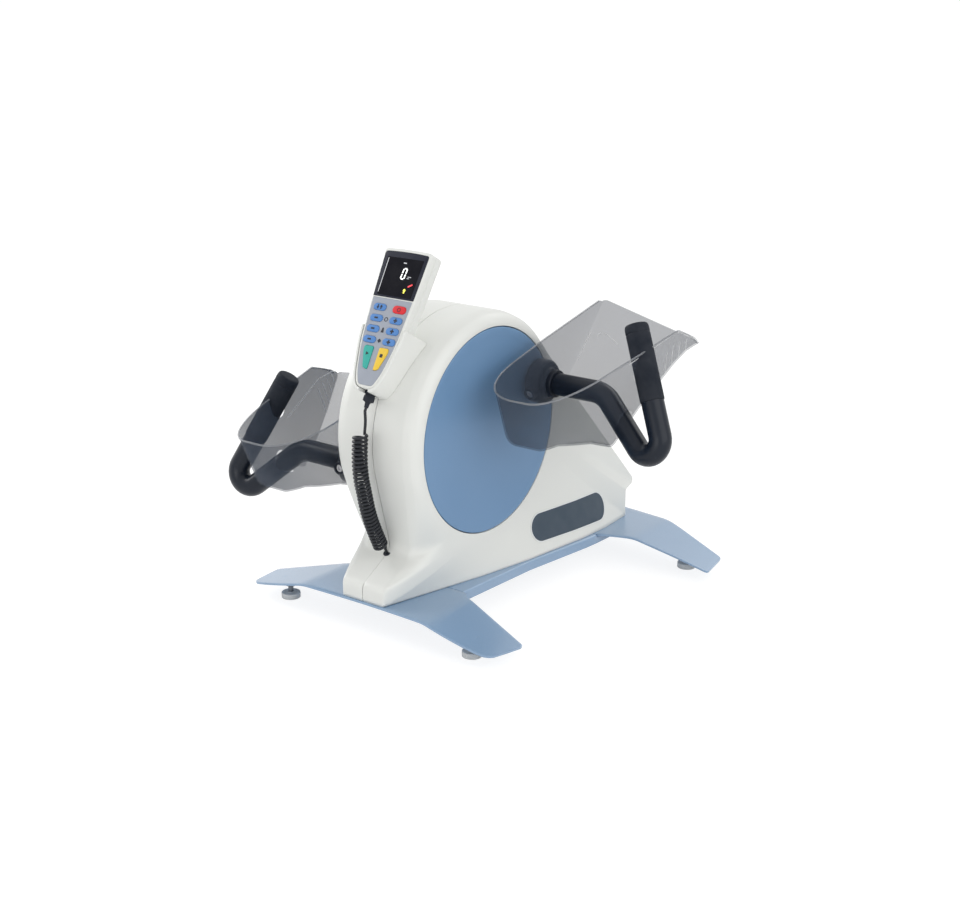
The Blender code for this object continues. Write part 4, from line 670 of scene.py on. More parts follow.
def housing_path():
    """Side outline of the housing: y, z, half width at the edge, angle on the disc's rim, swell.

    It runs from the front foot over the drum to the tail's foot. Between its control points all five
    values change in a straight line, and its corners are rounded.
    """
    deg = math.radians
    low = math.pi + FACE_LEAN
    bottom = BASE_TOP + GAP
    f = (np.arange(61) / 60)[:, None]
    a = low + (TAIL_LEAN - low) * f
    arc = np.hstack([DRUM_R * np.cos(a), AXIS_Z + DRUM_R * np.sin(a), np.full_like(a, DRUM_EDGE_X),
                     deg(200) + (deg(42) - deg(200)) * f, np.full_like(a, 2.0)])
    front = [(-FOOT_FRONT, bottom, FOOT_HALF_W, deg(257), 1.0),
             (-FOOT_FRONT, FOOT_TOP_Z, FOOT_HALF_W, deg(250), 1.0),
             (*SLOPE_END, FOOT_HALF_W, deg(235), 1.0)]
    tail = [(*LIP, TAIL_HALF_W, deg(-8), 1.15), (LIP[0], LIP[1] - LIP_T, TAIL_HALF_W, deg(-11), 1.1),
            (REAR_Y, UNDERCUT_Z, REAR_HALF_W, deg(-15), 1.0), (REAR_Y, bottom, REAR_HALF_W, deg(-24), 1.0)]
    radius = [0, 0.008, 0.016] + [0] * len(arc) + [0.009, 0.004, 0.004, 0]
    return densify(soften(np.vstack([front, arc, tail]), radius), 0.0045)


def housing_base():
    """The outline's run along the bottom, from the tail back to the front foot."""
    y = np.linspace(REAR_Y, -FOOT_FRONT, 110)[1:-1]
    half = np.interp(y, (-FOOT_FRONT, -0.016, 0.0756, 0.200, 0.262, REAR_Y),
                     (FOOT_HALF_W, 0.077, 0.0915, 0.1035, 0.1045, REAR_HALF_W))
    turn = np.interp(-y, (-REAR_Y, FOOT_FRONT), (math.radians(-24), math.radians(-103)))
    return np.stack([y, np.full_like(y, BASE_TOP + GAP), half, turn, np.ones_like(y)], axis=1)


def housing_loft(spots, f):
    """Side wall of the housing: x = edge + (face - edge) (1 - (1 - f)^2)^(1 / swell).

    Its side view runs straight from the outline at f = 0 to the rim of the disc's opening at f = 1.
    """
    y, z, edge, turn, swell = [column[:, None] for column in spots.T]
    opening = DISC_R + DISC_CLEAR
    x = edge + (DISC_FACE_X - edge) * (1 - (1 - f) ** 2) ** (1 / swell)
    return x, y + (opening * np.cos(turn) - y) * f, z + (AXIS_Z + opening * np.sin(turn) - z) * f


def housing_half(side):
    """One half of the housing: band, rounded edge, side wall and the rim round the disc."""
    over, under = housing_path(), housing_base()
    spots = np.vstack([over, under])
    banded = np.arange(len(spots)) < len(over)
    y, z, edge = spots[:, :3].T
    reach = np.hypot(*(np.stack(housing_loft(spots, np.array([1.0]))[1:])[..., 0] - [y, z]))
    round_by = np.where(banded, sizes().edge_round, 0.0)
    f_round = round_by / reach
    ends = [c[:, 0] for c in housing_loft(spots, f_round[:, None])]
    inner = unit(np.stack([c[:, 0] for c in housing_loft(spots, np.array([[1.0]]))[1:]], 1) - spots[:, :2])
    seam = sizes().seam
    middle = GAP / 2
    columns = [at(middle, y + inner[:, 0] * seam, z + inner[:, 1] * seam), at(middle + seam, y, z)]
    columns += [at(middle + seam + (edge - round_by - middle - seam) * s, y, z)
                for s in (0.25, 0.5, 0.75, 1.0)]
    for t in (0.2, 0.4, 0.6, 0.8, 1.0):
        k, m, n = (1 - t) ** 2, 2 * t * (1 - t), t ** 2
        columns.append(at(k * (edge - round_by) + m * edge + n * ends[0],
                          (k + m) * y + n * ends[1], (k + m) * z + n * ends[2]))
    banded_cols = len(columns) - 1
    share = np.linspace(0, 1, 27)[1:][None]
    x, wy, wz = housing_loft(spots, f_round[:, None] + (1 - f_round[:, None]) * share)
    columns += list(np.moveaxis(at(x, wy, wz), 1, 0))
    spot = columns[-1]
    centre = at(0.0, 0.0, AXIS_Z)
    to_axis = unit((centre - spot) * (0, 1, 1))
    for drop, draw in ((0.0004, 0.0002), (0.0012, 0.0004), (0.0100, 0.0004)):
        columns.append(spot + (-drop, 0, 0) + to_axis * draw)
    points = np.stack(columns, axis=1) * (side, 1, 1)
    rows, cols = points.shape[:2]
    keep = np.ones((rows, cols - 1), bool)
    keep[~(banded & np.roll(banded, -1)), :banded_cols] = False
    keep[len(over) - 1, :banded_cols] = False
    made = piece("housing_cover_" + TAGS[side], points, grid_faces(rows, cols, True, False, keep), "cover")
    face_out(made)
    thicken(made, WALL)
    return made


def face_out(made, axis=2, way=1):
    """Turns an open skin so that its furthest face along an axis looks that way."""
    mesh = made.data
    far = max(mesh.polygons, key=lambda poly: way * poly.center[axis])
    if far.normal[axis] * way < 0:
        mesh.flip_normals()


BADGE_LOW = (0.1140, 0.0858)
BADGE_HIGH = (0.2545, 0.0815)
BADGE_HALF_H = 0.0225


def badge(side):
    """The bare plate on the housing's side, and its pale outline.

    Both are stadiums in (y, z), ring by ring from the edge inwards, laid on the wall along X.
    """
    low, high = np.array(BADGE_LOW), np.array(BADGE_HIGH)
    along = unit(high - low)
    up = np.array((-along[1], along[0]))
    half = math.pi / 2
    caps = np.array([(*low, half), (*low, 3 * half), (*high, -half), (*high, half), (*low, half)])
    marks = np.vstack([np.linspace(a, b, 32, endpoint=False) for a, b in zip(caps[:-1], caps[1:])])
    marks[-32:, 2] = half
    marks[32:64, 2] = 3 * half
    centre, turn = marks[:, :2], marks[:, 2]
    rays = np.cos(turn)[:, None] * along + np.sin(turn)[:, None] * up
    border = 0.0017
    inner = BADGE_HALF_H - border

    def laid(name, radii, thick, finish):
        flat = centre[None] + rays[None] * np.reshape(radii, (-1, 1, 1))
        skin = piece(name + TAGS[side], at(side * 0.16, flat[..., 0], flat[..., 1]),
                     grid_faces(flat.shape[0], flat.shape[1], False, True), finish)
        step = skin.modifiers.new("lay", "SHRINKWRAP")
        step.target = bpy.data.objects["housing_cover_" + TAGS[side]]
        step.wrap_method, step.use_project_x = "PROJECT", True
        step.use_negative_direction, step.use_positive_direction = side > 0, side < 0
        settle(skin)
        face_out(skin, 0, side)
        thicken(skin, thick, 1.0)
        round_edges(skin, 0.0004, 2, 60.0)
        return skin

    plate_made = laid("badge_face_", np.linspace(0.0, inner, 12), 0.0009, "badge")
    done(plate_made, "trainer", "slate_badge", "badge_plate_" + TAGS[side])
    done(laid("badge_line_", (inner + 0.0001, BADGE_HALF_H), 0.0012, "line"), "trainer", "slate_badge")


# Base

def leg_sheet(name, front, back, crease, tip):
    """A folded leg: a ruled sheet between its front and back edges, mirrored about the middle.

    Its height falls from the crease to the tip in a straight line that starts with a parabola.
    """
    round_by = sizes().crease_round

    def edge(corners, radii):
        line = densify(soften(corners, radii, 6), 0.004)
        run = np.concatenate([[0], np.cumsum(np.linalg.norm(np.diff(line, axis=0), axis=1))])
        want = np.linspace(0, run[-1], 90)
        return np.stack([np.interp(want, run, line[:, 0]), np.interp(want, run, line[:, 1])], 1)

    a, b = edge(*front), edge(*back)
    v = np.linspace(0, 1, 17)[:, None, None]
    flat = a * (1 - v) + b * v
    flat = np.concatenate([flat[:, :0:-1] * (-1, 1), flat], axis=1)
    x = np.abs(flat[..., 0])
    drop = (BASE_TOP - tip[1]) / (tip[0] - crease)
    past = x - crease
    fall = np.where(past > round_by, past, np.clip(past + round_by, 0, None) ** 2 / (4 * round_by))
    z = BASE_TOP - drop * fall
    made = piece(name, at(flat[..., 0], flat[..., 1], z), grid_faces(*z.shape), "legs")
    face_out(made)
    thicken(made, SHEET)
    round_edges(made, 0.0009, 2, 60.0)
    return made


def channel():
    """The long beam: a turned-down channel section carried along Y, wider towards the back."""
    under = BASE_TOP - SHEET - GAP
    marks = np.array([(-0.176, 0.060, under), (-0.0857, 0.0915, under), (-0.0845, 0.0918, BASE_TOP),
                      (0.070, 0.0960, BASE_TOP), (0.200, 0.1100, BASE_TOP), (0.2265, 0.1115, BASE_TOP),
                      (0.2277, 0.1115, under), (0.350, 0.1120, under)])
    marks = densify(marks, 0.01, 1)
    y, w, top = [m[:, None] for m in marks.T]
    low = BASE_TOP - FLANGE
    q = np.linspace(0, math.pi / 2, 6)
    r = 0.0035
    bend_x, bend_z = r * (1 - np.cos(q)), r * (1 - np.sin(q))
    right_x = np.hstack([w + 0 * y, w - bend_x[None]])
    right_z = np.hstack([low + 0 * y, top - bend_z[None]])
    inner_x = np.hstack([w - SHEET, w - SHEET + 0 * y])
    x = np.hstack([right_x, -right_x[:, ::-1], -inner_x, inner_x[:, ::-1]])
    z = np.hstack([right_z, right_z[:, ::-1], low + 0 * y, top - SHEET, top - SHEET, low + 0 * y])
    points = at(x, y, z)
    rows, cols = z.shape
    faces = grid_faces(rows, cols, False, True).tolist()
    faces += [list(range(cols)), list(range((rows - 1) * cols, rows * cols))]
    return piece("beam", points, faces, "legs")


def sheet_under(x, crease, tip):
    """Height of a leg's underside past its crease."""
    return BASE_TOP - (BASE_TOP - tip[1]) / (tip[0] - crease) * (x - crease) - SHEET


def rings_under(side, foot, under, rings, sides):
    """Circles round a levelling stud, each given by its radius and its height against the sheet."""
    radii, lift = np.array(rings).T[:, :, None]
    a = angles(sides)
    return at(side * foot[0] + radii * np.cos(a), foot[1] + radii * np.sin(a), under + lift + 0 * a)


def leg_bosses(name, foot, under):
    """The pair of welded bosses under a leg's wings, in one mesh."""
    soft = 0.0008
    rings = [(0, soft), (BOSS_R, soft), (BOSS_R, soft - BOSS_H), (BOSS_R - soft, -BOSS_H),
             (STUD_CLEAR, -BOSS_H), (STUD_CLEAR, -0.001)]
    forms = [(rings_under(side, foot, under, rings, 48).reshape(-1, 3),
              grid_faces(len(rings), 48, False, True)) for side in TAGS]
    return done(bundle(name + "_bosses", forms, "legs"), "trainer", "blue_coat")


def lock_nut(tag, side, foot, under):
    """A six-sided lock nut on the levelling stud, under the boss."""
    top = -BOSS_H - 0.0002
    rings = [(STUD_CLEAR, top), (NUT_R, top), (NUT_R, top - NUT_H), (STUD_CLEAR, top - NUT_H)]
    made = piece("lock_nut_" + tag, rings_under(side, foot, under, rings, 6),
                 grid_faces(len(rings), 6, True, True), "dark_steel")
    round_edges(made, 0.0004, 2, 40.0)
    return done(made, "trainer", "steel")


def foot_pad(tag, side, foot):
    """A levelling pad: a turned disc with a soft tread edge; the dark steel stud above it is a kept solid."""
    profile = soften([(0, 0), (0, PAD_R), (0.0022, PAD_R), (0.0026, PAD_R - 0.0005), (0.0030, PAD_R),
                      (PAD_H, PAD_R), (PAD_H, 0.0066), (PAD_H + 0.0006, 0.0060), (PAD_H + 0.0006, 0)],
                     [0, 0.0010, 0.0002, 0.0002, 0.0002, 0.0016, 0.0006, 0.0004, 0])
    made = turned("pad_" + tag, profile, at(side * foot[0], foot[1], 0.0), (0, 0, 1), "pad", 64)
    return done(made, "foot_" + tag, "grey_foot", "foot_pad_" + tag)


# Crank, hubs and handles

def disc(side):
    """The blue disc: flat, with a soft edge and a shallow dish behind its rim."""
    face = DISC_FACE_X
    profile = soften([(face - DISC_T, 0), (face - DISC_T, DISC_R), (face, DISC_R), (face, DISC_R - 0.010),
                      (face - 0.0003, DISC_R - 0.016), (face - 0.0003, 0)],
                     [0, 0.0008, 0.0016, 0.003, 0.003, 0])
    made = turned("disc_face_" + TAGS[side], profile * (side, 1), at(0, 0, AXIS_Z), (1, 0, 0), "disc", 192)
    return done(made, "crank", "blue_disc", "crank_disc_" + TAGS[side])


def hub(side):
    """The swivelling clamp hub, its socket for the handle and the boss of the clamp screw."""
    y, z = PINS[side]
    centre = np.array((0.0, y, z))
    bore = PIN_R + 0.0002
    profile = soften([(HUB_IN_X, bore), (HUB_IN_X, HUB_R), (HUB_OUT_X - 0.005, HUB_R),
                      (HUB_OUT_X, HUB_R - 0.004), (HUB_OUT_X, SOCKET_R + 0.0022),
                      (HUB_OUT_X + 0.004, SOCKET_R), (SOCKET_OUT_X, SOCKET_R), (SOCKET_OUT_X, 0),
                      (HUB_OUT_X + 0.0065, 0), (HUB_OUT_X + 0.0065, bore)],
                     [0, 0.002, 0.0015, 0.0025, 0.0015, 0.0015, 0.0016, 0, 0, 0])
    body = turned("hub_body_" + TAGS[side], profile * (side, 1), centre, (1, 0, 0), "hub", 96, ring=True)
    turn = CLAMP_TURN[side]
    facing = np.array((0.0, -math.cos(turn), -math.sin(turn)))
    middle = centre + (side * (HUB_IN_X + HUB_OUT_X) / 2, 0, 0)
    boss = turned("boss_form", soften([(0.020, 0), (0.020, CLAMP_R), (HUB_R + 0.005, CLAMP_R),
                                       (HUB_R + 0.005, 0.0062), (0.0235, 0.0062), (0.0235, 0)],
                                      [0, 0, 0.0014, 0.0004, 0, 0]), middle, facing, "hub", 48)
    carve(body, boss, operation="UNION")
    done(body, "swivel_" + TAGS[side], "black_plastic", "swivel_hub_" + TAGS[side])
    start = middle + facing * (HUB_R * 0.72 + GAP)
    screw = turned("screw_" + TAGS[side],
                   soften([(0, 0), (0, 0.0034), (0.008, 0.0034), (0.008, 0.0056), (0.0122, 0.0056),
                           (0.0122, 0.0030), (0.0095, 0.0026), (0.0095, 0)],
                          [0, 0.0003, 0, 0.0003, 0.0008, 0.0003, 0, 0]), start, facing, "steel", 48)
    done(screw, "swivel_" + TAGS[side], "steel", "clamp_screw_" + TAGS[side])


def arc_path(corners, radii, spacing=0.004):
    """Straight runs joined by true arcs: centre + (p sin((1 - f)s) + q sin(f s)) / sin s."""
    corners = np.asarray(corners, float)
    points = [corners[:1]]
    for k, r in enumerate(radii, start=1):
        here = corners[k]
        back, ahead = unit(corners[k - 1] - here), unit(corners[k + 1] - here)
        half = math.acos(float(back @ ahead)) / 2
        centre = here + unit(back + ahead) * r / math.sin(half)
        p, q = (here + v * r / math.tan(half) - centre for v in (back, ahead))
        sweep = math.pi - 2 * half
        f = np.linspace(0, 1, max(8, round(r * sweep / spacing)))[:, None]
        points.append(centre + (p * np.sin((1 - f) * sweep) + q * np.sin(f * sweep)) / math.sin(sweep))
    return np.vstack(points + [corners[-1:]])


def handle(side):
    """The bent tube and the grip on its upright, each a circle carried along the handle's line."""
    y, z = PINS[side]
    corners = [(side * p[0], y + p[1], z + p[2])
               for p in ((SOCKET_OUT_X + GAP, 0, 0), ELBOW, LOOP, GRIP_TOP)]
    path = arc_path(corners, (ELBOW_R, LOOP_R))
    top, down = path[-1], unit(path[-2] - path[-1])
    step = SLEEVE_LEN - SLEEVE_CAP + 0.0012
    core = SLEEVE_R - SLEEVE_WALL - GAP
    line = np.vstack([path[:1] + (side * TUBE_START, 0, 0), path[:-1],
                      *(top + down * d for d in (step, step - 0.0004, 0.0004, 0.0))])
    line[1] = line[0] + (side * 3 * TUBE_START, 0, 0)
    radii = capped(len(line), TUBE_R)
    radii[-3:-1] = core
    made = tube("handle_" + TAGS[side], line, radii, "tube", sides=56)
    done(made, "swivel_" + TAGS[side], "black_tube", "handle_tube_" + TAGS[side])
    cap = top - down * SLEEVE_CAP
    bore = SLEEVE_R - SLEEVE_WALL
    ribs = [(0.0125, SLEEVE_R), (0.0131, SLEEVE_R - 0.0006), (0.0143, SLEEVE_R - 0.0006), (0.0149, SLEEVE_R)]
    profile = soften([(0, 0), (0, SLEEVE_R - 0.0042), (0.0010, SLEEVE_R - 0.0012), (0.0055, SLEEVE_R), *ribs,
                      (SLEEVE_LEN - 0.002, SLEEVE_R), (SLEEVE_LEN + 0.0008, SLEEVE_R - 0.0006),
                      (SLEEVE_LEN + 0.0008, bore), (SLEEVE_CAP - GAP, bore), (SLEEVE_CAP - GAP, 0)],
                     [0, 0.002, 0.002, 0.003, 0.0003, 0.0003, 0.0003, 0.0003, 0.001, 0.0004, 0.0004, 0, 0])
    grip = turned("grip_" + TAGS[side], profile, cap, down, "grip", 56)
    done(grip, "swivel_" + TAGS[side], "black_grip", "grip_sleeve_" + TAGS[side])
    return line


# Foot shells

SHELL_WALL = 0.003
SHELL_ROUND = 0.1067
SHELL_IN_X = 0.1022
SHELL_IN_SPLAY = 0.0386
SHELL_OUT_X = 0.2616
SHELL_SPLAY = 0.1372
SHELL_HEEL = -0.1726
SHELL_TOE = {1: 0.1500, -1: 0.0807}
SHELL_SLANT = {1: 0.0175, -1: -0.0320}
SHELL_RIM = 0.0702
SHELL_TIP = 0.0347
SHELL_TIP_RUN = 0.050
SHELL_DRAFT = 0.0179
SHELL_SOLE = ((0.005, 0.0160), (0.014, -0.0116), (0.035, -0.0120), (0.065, -0.0246), (0.095, -0.0371),
              (0.130, -0.0596))
SHELL_LIE = {1: (math.radians(14.7), 0.0, 0.0), -1: (math.radians(13.7), 0.0652, -0.0011)}
TUBE_SLOT = 0.002
SOLE_STEPS = 32
CREASE_IN = 14
CREASE_OUT = 21 + SOLE_STEPS
FOLD_COL = {1: CREASE_OUT + 12.2, -1: CREASE_OUT + 9.4}
TRAY_MID_X = 0.15
LEAST_DENSITY = 0.11
SOLE_FACING = 0.62
FOLD_FROM = 0.50
FOLD_R = 0.0008
RIB_SHARES = (0.08, 0.125, 0.17, 0.215)
RIB_COLS = 8
RIB_R = 0.0009
SIDE_MARK_BACK = 0.0935
SIDE_MARK_LEN = 0.0445
BOW_BACK = 0.0530
BOW_RISE = 0.0080
BEAD_HINT = (0.3, 0.2, 1.0)
TUBE_START = 0.0002
SLOT_PAST = 0.05
TOE_ROUND = 0.011


def shell_stations(side, count=150):
    """Values of the tray along its length: where, both sides, both soles, the outer rim, the slant."""
    s = np.linspace(0, 1, count)
    toe = SHELL_TOE[side]
    along = SHELL_HEEL + (toe - SHELL_HEEL) * (0.35 * s ** 2.6 + 0.65 * s ** 1.4)
    f = (along - SHELL_HEEL) / (toe - SHELL_HEEL)
    middle, half = (SHELL_IN_X + SHELL_OUT_X) / 2, (SHELL_OUT_X - SHELL_IN_X) / 2
    back = np.clip(1 - (along - SHELL_HEEL) / SHELL_ROUND, 0, 1)
    swell = (1 - back ** 2.4) ** (1 / 2.4)
    left = middle - half * (0.10 + 0.90 * swell) + SHELL_IN_SPLAY * np.clip(along, 0, None)
    right = middle + half * (0.10 + 0.90 * swell) + SHELL_SPLAY * along * swell
    fall = np.clip(along - toe + SHELL_TIP_RUN, 0, None) / SHELL_TIP_RUN
    rim_out = SHELL_RIM - fall * (SHELL_RIM - SHELL_TIP)
    places, heights = zip((0.0, SHELL_RIM), *SHELL_SOLE)
    places = [SHELL_HEEL + d for d in places] + [toe]
    sole_in = np.interp(along, places, [*heights, SHELL_RIM - SHELL_WALL])
    sole_out = np.interp(along, places, [*heights, SHELL_TIP - SHELL_WALL])
    return along, left, right, sole_in, sole_out, rim_out, f * f * SHELL_SLANT[side]


def shell_skin(side):
    """The tray's outer skin: a U at each station, its lower corners parabolas, its toe corners rounded."""
    along, left, right, sole_in, sole_out, rim_out, slant = [v[:, None] for v in shell_stations(side)]
    rim_in = np.full_like(rim_out, SHELL_RIM)
    wide = 0.30 * (right - left)
    draft = np.minimum(SHELL_DRAFT, wide) * np.clip((rim_out - sole_out) / 0.10, 0, 1)
    corner_in = np.minimum(np.minimum(0.018, wide), 0.6 * (rim_in - sole_in))
    corner_out = np.minimum(np.minimum(0.018, wide), 0.6 * (rim_out - sole_out))
    low_a, low_b = left + draft * 0.3, right - draft
    w = np.linspace(0, 1, 11)[None]
    t = np.linspace(0, 1, 8)[None, 1:]
    k, m, n = (1 - t) ** 2, 2 * t * (1 - t), t ** 2
    s = (1 - np.cos(np.linspace(0, math.pi, SOLE_STEPS + 2)))[None, 1:-1] / 2
    x = [left + (low_a - left) * w, k * low_a + m * low_a + n * (low_a + corner_in),
         low_a + corner_in + (low_b - corner_out - low_a - corner_in) * s,
         (k * (low_b - corner_out) + m * low_b + n * low_b), low_b + (right - low_b) * w[:, 1:]]
    up = [rim_in + (sole_in + corner_in - rim_in) * w,
          k * (sole_in + corner_in) + m * sole_in + n * sole_in,
          sole_in + (sole_out - sole_in) * s,
          k * sole_out + m * sole_out + n * (sole_out + corner_out),
          sole_out + corner_out + (rim_out - sole_out - corner_out) * w[:, 1:]]
    x, up = np.hstack(x), np.hstack(up)
    share = (x - left) / (right - left)
    corner = np.clip(1 - np.minimum(share, 1 - share) * (right - left) / TOE_ROUND, 0, 1)
    near_toe = np.clip(1 - (SHELL_TOE[side] - along) / (3 * TOE_ROUND), 0, 1) ** 2
    fwd = along - slant * share - TOE_ROUND * (1 - np.sqrt(1 - corner ** 2)) * near_toe
    return x, fwd, up


def on_grid(grid, rows, cols):
    """Points between a grid's own: each is the average of the four round it by how near it lies."""
    rows, cols = np.broadcast_arrays(np.asarray(rows, float), np.asarray(cols, float))
    r = np.clip(rows.astype(int), 0, grid.shape[0] - 2)
    c = np.clip(cols.astype(int), 0, grid.shape[1] - 2)
    f, g = (rows - r)[:, None], (cols - c)[:, None]
    return ((grid[r, c] * (1 - f) + grid[r + 1, c] * f) * (1 - g)
            + (grid[r, c + 1] * (1 - f) + grid[r + 1, c + 1] * f) * g)


def tray_lines(side, points):
    """Raised lines inside the tray: the outer wall's fold, four ribs by its foot and two near the toe. Their
    pale colour is a painted highlight.
    """
    along = shell_stations(side)[0]
    toe = SHELL_TOE[side]
    normal = unit(np.cross(np.gradient(points, axis=0), np.gradient(points, axis=1)))
    normal = normal * np.sign(np.sum(normal[75, 30] * (0, 0, 1)))
    inside = points + normal * (SHELL_WALL * 0.8 + 0.0002)

    def line(where, cols, radius):
        rows = np.interp(where, along, np.arange(len(along)))
        path = on_grid(inside, rows, cols)
        return tube_form(path, capped(len(path), radius), BEAD_HINT, 8)

    reach = toe - SHELL_HEEL
    run = np.linspace(SHELL_HEEL + FOLD_FROM * reach, toe - 0.006, 60)
    t = np.linspace(0, 1, 14)
    even = np.ones_like(t)
    forms = [line(run, FOLD_COL[side] + 0 * run, FOLD_R)]
    forms += [line((toe - share * reach) * even, CREASE_OUT + RIB_COLS * t, RIB_R) for share in RIB_SHARES]
    forms += [line(toe - SIDE_MARK_BACK + SIDE_MARK_LEN * t, (CREASE_IN - 0.5) * even, RIB_R),
              line(toe - BOW_BACK + BOW_RISE * np.sin(math.pi * t), CREASE_IN + 3 + 13 * t, RIB_R)]
    # The near-white smoke on these lines is a painted highlight.
    lines = bundle("tray_lines_" + TAGS[side], forms, "etched")
    done(lines, "swivel_" + TAGS[side], "smoked_plastic")


def shell_world(side, x, fwd, up):
    """From across, along and up about the crank pin to the world, toes tilted up."""
    pitch, ahead, lift = SHELL_LIE[side]
    fwd, up = fwd + ahead, up + lift
    y, z = PINS[side]
    c, s = math.cos(pitch), math.sin(pitch)
    return np.stack([side * x, y + fwd * c - up * s, z + fwd * s + up * c], axis=-1)


def foot_shell(side, line):
    """The smoked tray, with its wall turned inwards, the slot for the handle and the rim's bead."""
    x, fwd, up = shell_skin(side)
    points = shell_world(side, x, fwd, up)
    made = piece("foot_tray_" + TAGS[side], points, grid_faces(*x.shape), "smoke")
    face_out(made, 2, -1)
    thicken(made, SHELL_WALL * 0.8)
    settle(made)
    y, z = PINS[side]
    socket = turned("socket_form", [(HUB_OUT_X - 0.01, 0), (HUB_OUT_X - 0.01, SOCKET_R + GAP),
                                    (0.16, SOCKET_R + GAP), (0.16, 0)] * np.array((side, 1)),
                    (0, y, z), (1, 0, 0), None, 64)
    run = line[1:]
    past = unit(run[-1] - run[-3])
    run = np.vstack([run[:1] - (side * TUBE_START, 0, 0), run, run[-1:] + past * SLOT_PAST,
                     run[-1:] + past * (SLOT_PAST + TUBE_START)])
    slot = tube("slot_form", run, capped(len(run), SLEEVE_R + TUBE_SLOT), None, sides=40)
    carve(made, socket, slot)
    mesh = made.data
    mesh.materials.append(FINISHES["sole"])
    facing = np.empty(len(mesh.polygons) * 3)
    mesh.polygons.foreach_get("normal", facing)
    up_dir = shell_world(side, 0.0, 0.0, 1.0) - shell_world(side, 0.0, 0.0, 0.0)
    flat = np.abs(facing.reshape(-1, 3) @ up_dir) > SOLE_FACING
    mesh.polygons.foreach_set("material_index", flat.astype(np.int32))
    done(made, "swivel_" + TAGS[side], "smoked_plastic", "foot_shell_" + TAGS[side])
    edge = np.vstack([points[::-1, 0], points[0, 1:-1], points[:, -1]])
    edge = densify(edge, 0.006, 3)
    # The bead is paler smoke, a painted highlight along the rim.
    rim = tube("tray_rim_" + TAGS[side], edge, capped(len(edge), sizes().rim_bead), "rim", BEAD_HINT, 10)
    done(rim, "swivel_" + TAGS[side], "smoked_plastic")
    tray_lines(side, points)


# Handset

def on_set(x, up, out):
    """From the handset's face: across, up along the face and out of it, to the world."""
    s, c = math.sin(SET_LEAN), math.cos(SET_LEAN)
    reach = SET_FACE + out
    return at(x, up * s - reach * c, AXIS_Z + up * c + reach * s)


SET_MARKS = (SET_BOTTOM, -0.005, 0.010, 0.053, SET_WIN_LOW, SET_TOP)
SET_HALVES = (0.0120, 0.0195, 0.0245, 0.0335, 0.0382, 0.0415)


def set_half(up):
    """Half width of the handset along its length."""
    return np.interp(up, SET_MARKS, SET_HALVES)


def mirrored(right):
    """A closed outline from its right side, listed upwards."""
    right = np.asarray(right, float)
    return np.vstack([right, right[::-1] * (-1, 1)])


def set_outline(inset, low, top, arch, low_corner, top_corner):
    """Outline of the handset drawn in by an inset, its top arched and its corners rounded."""
    marks = [low] + [m for m in SET_MARKS if low + 0.004 < m < top - 0.006] + [top]
    right = [(float(set_half(m)) - inset, m) for m in marks]
    x = right[-1][0]
    crest = [(x * f, top + arch * (1 - f * f)) for f in (0.75, 0.5, 0.25)]
    radii = [low_corner] + [0.015] * (len(marks) - 2) + [top_corner] + [0.01] * len(crest)
    return soften(mirrored(right + crest), radii + radii[::-1], 6, closed=True)


WINDOW_TOP = 0.1826


def handset():
    """Front and back shell, the dark window, the key film, the keys and what the display shows."""
    s = sizes()
    outline = set_outline(0.0, SET_BOTTOM, SET_TOP, 0.0012, 0.006, 0.006)
    front = plate("handset_face", outline, on_set, -SET_SPLIT + GAP, 0.0, "cover", 0.0022, 0.0, 6)
    window = set_outline(0.0022, SET_WIN_LOW, WINDOW_TOP, 0.0014, 0.0015, 0.0045)
    film = set_outline(0.0032, -0.0088, SET_WIN_LOW - 0.0012, 0.0, 0.005, 0.0012)
    carve(front, plate("window_form", window, on_set, -0.0028, 0.01, None),
          plate("film_form", film, on_set, -0.0012, 0.01, None))
    done(front, "handset", "white_plastic", "handset_front")
    back = plate("handset_shell", set_outline(0.0006, SET_BOTTOM, SET_TOP, 0.0012, 0.006, 0.006),
                 lambda x, up, out: on_set(x, up, -out), SET_SPLIT, SET_T, "cover", 0.0045, 0.0, 8)
    done(back, "handset", "white_plastic", "handset_back")
    shrink = set_outline(0.0025, SET_WIN_LOW + 0.0003, WINDOW_TOP - 0.0003, 0.0014, 0.0015, 0.0045)
    pane = plate("display_pane", shrink, on_set, -0.0026, 0.0002, "bezel", 0.0003)
    done(pane, "handset", "display", "display_window")
    glass = [(0.0300, 0.1195), (0.0322, 0.1748)]
    screen = plate("display_glass", soften(mirrored(glass), 0.0012, 4, True), on_set, 0.0, 0.00055,
                   "glass", 0.0002)
    done(screen, "handset", "display")
    sheet = plate("key_film", set_outline(0.0035, -0.0085, SET_WIN_LOW - 0.0015, 0.0, 0.005, 0.0012), on_set,
                  -0.0011, 0.0001, "panel", 0.0002)
    pockets = [plate(name + "_form", shape + outward(shape) * KEY_GAP, on_set, -0.004, 0.01, None)
               for name, shape, _ in key_shapes()]
    carve(sheet, *pockets)
    done(sheet, "handset", "grey_keypad", "keypad_overlay")
    for name, shape, finish in key_shapes():
        made = plate(name + "_cap", shape, on_set, -0.0024, 0.0010, finish, s.key_round, 0.0003, 5)
        done(made, name + "_body", finish, name)
    key_marks()
    display_marks()


def pill(x, up, width, height, steps=10):
    """A stadium outline, two half circles joined by straight sides."""
    a = np.linspace(0, math.pi, steps + 1)
    r = height / 2
    reach = width / 2 - r
    angle = np.concatenate([a - math.pi / 2, a + math.pi / 2])
    shift = np.repeat((reach, -reach), steps + 1)
    return np.stack([x + shift + r * np.cos(angle), up + r * np.sin(angle)], axis=1)


KEY_GAP = 0.0004
MARK_T = 0.00025
KEY_X = 0.0173
KEY_ROWS = (0.1020, 0.0862, 0.0707, 0.0553)
KEY_W = 0.0222
KEY_H = 0.0096


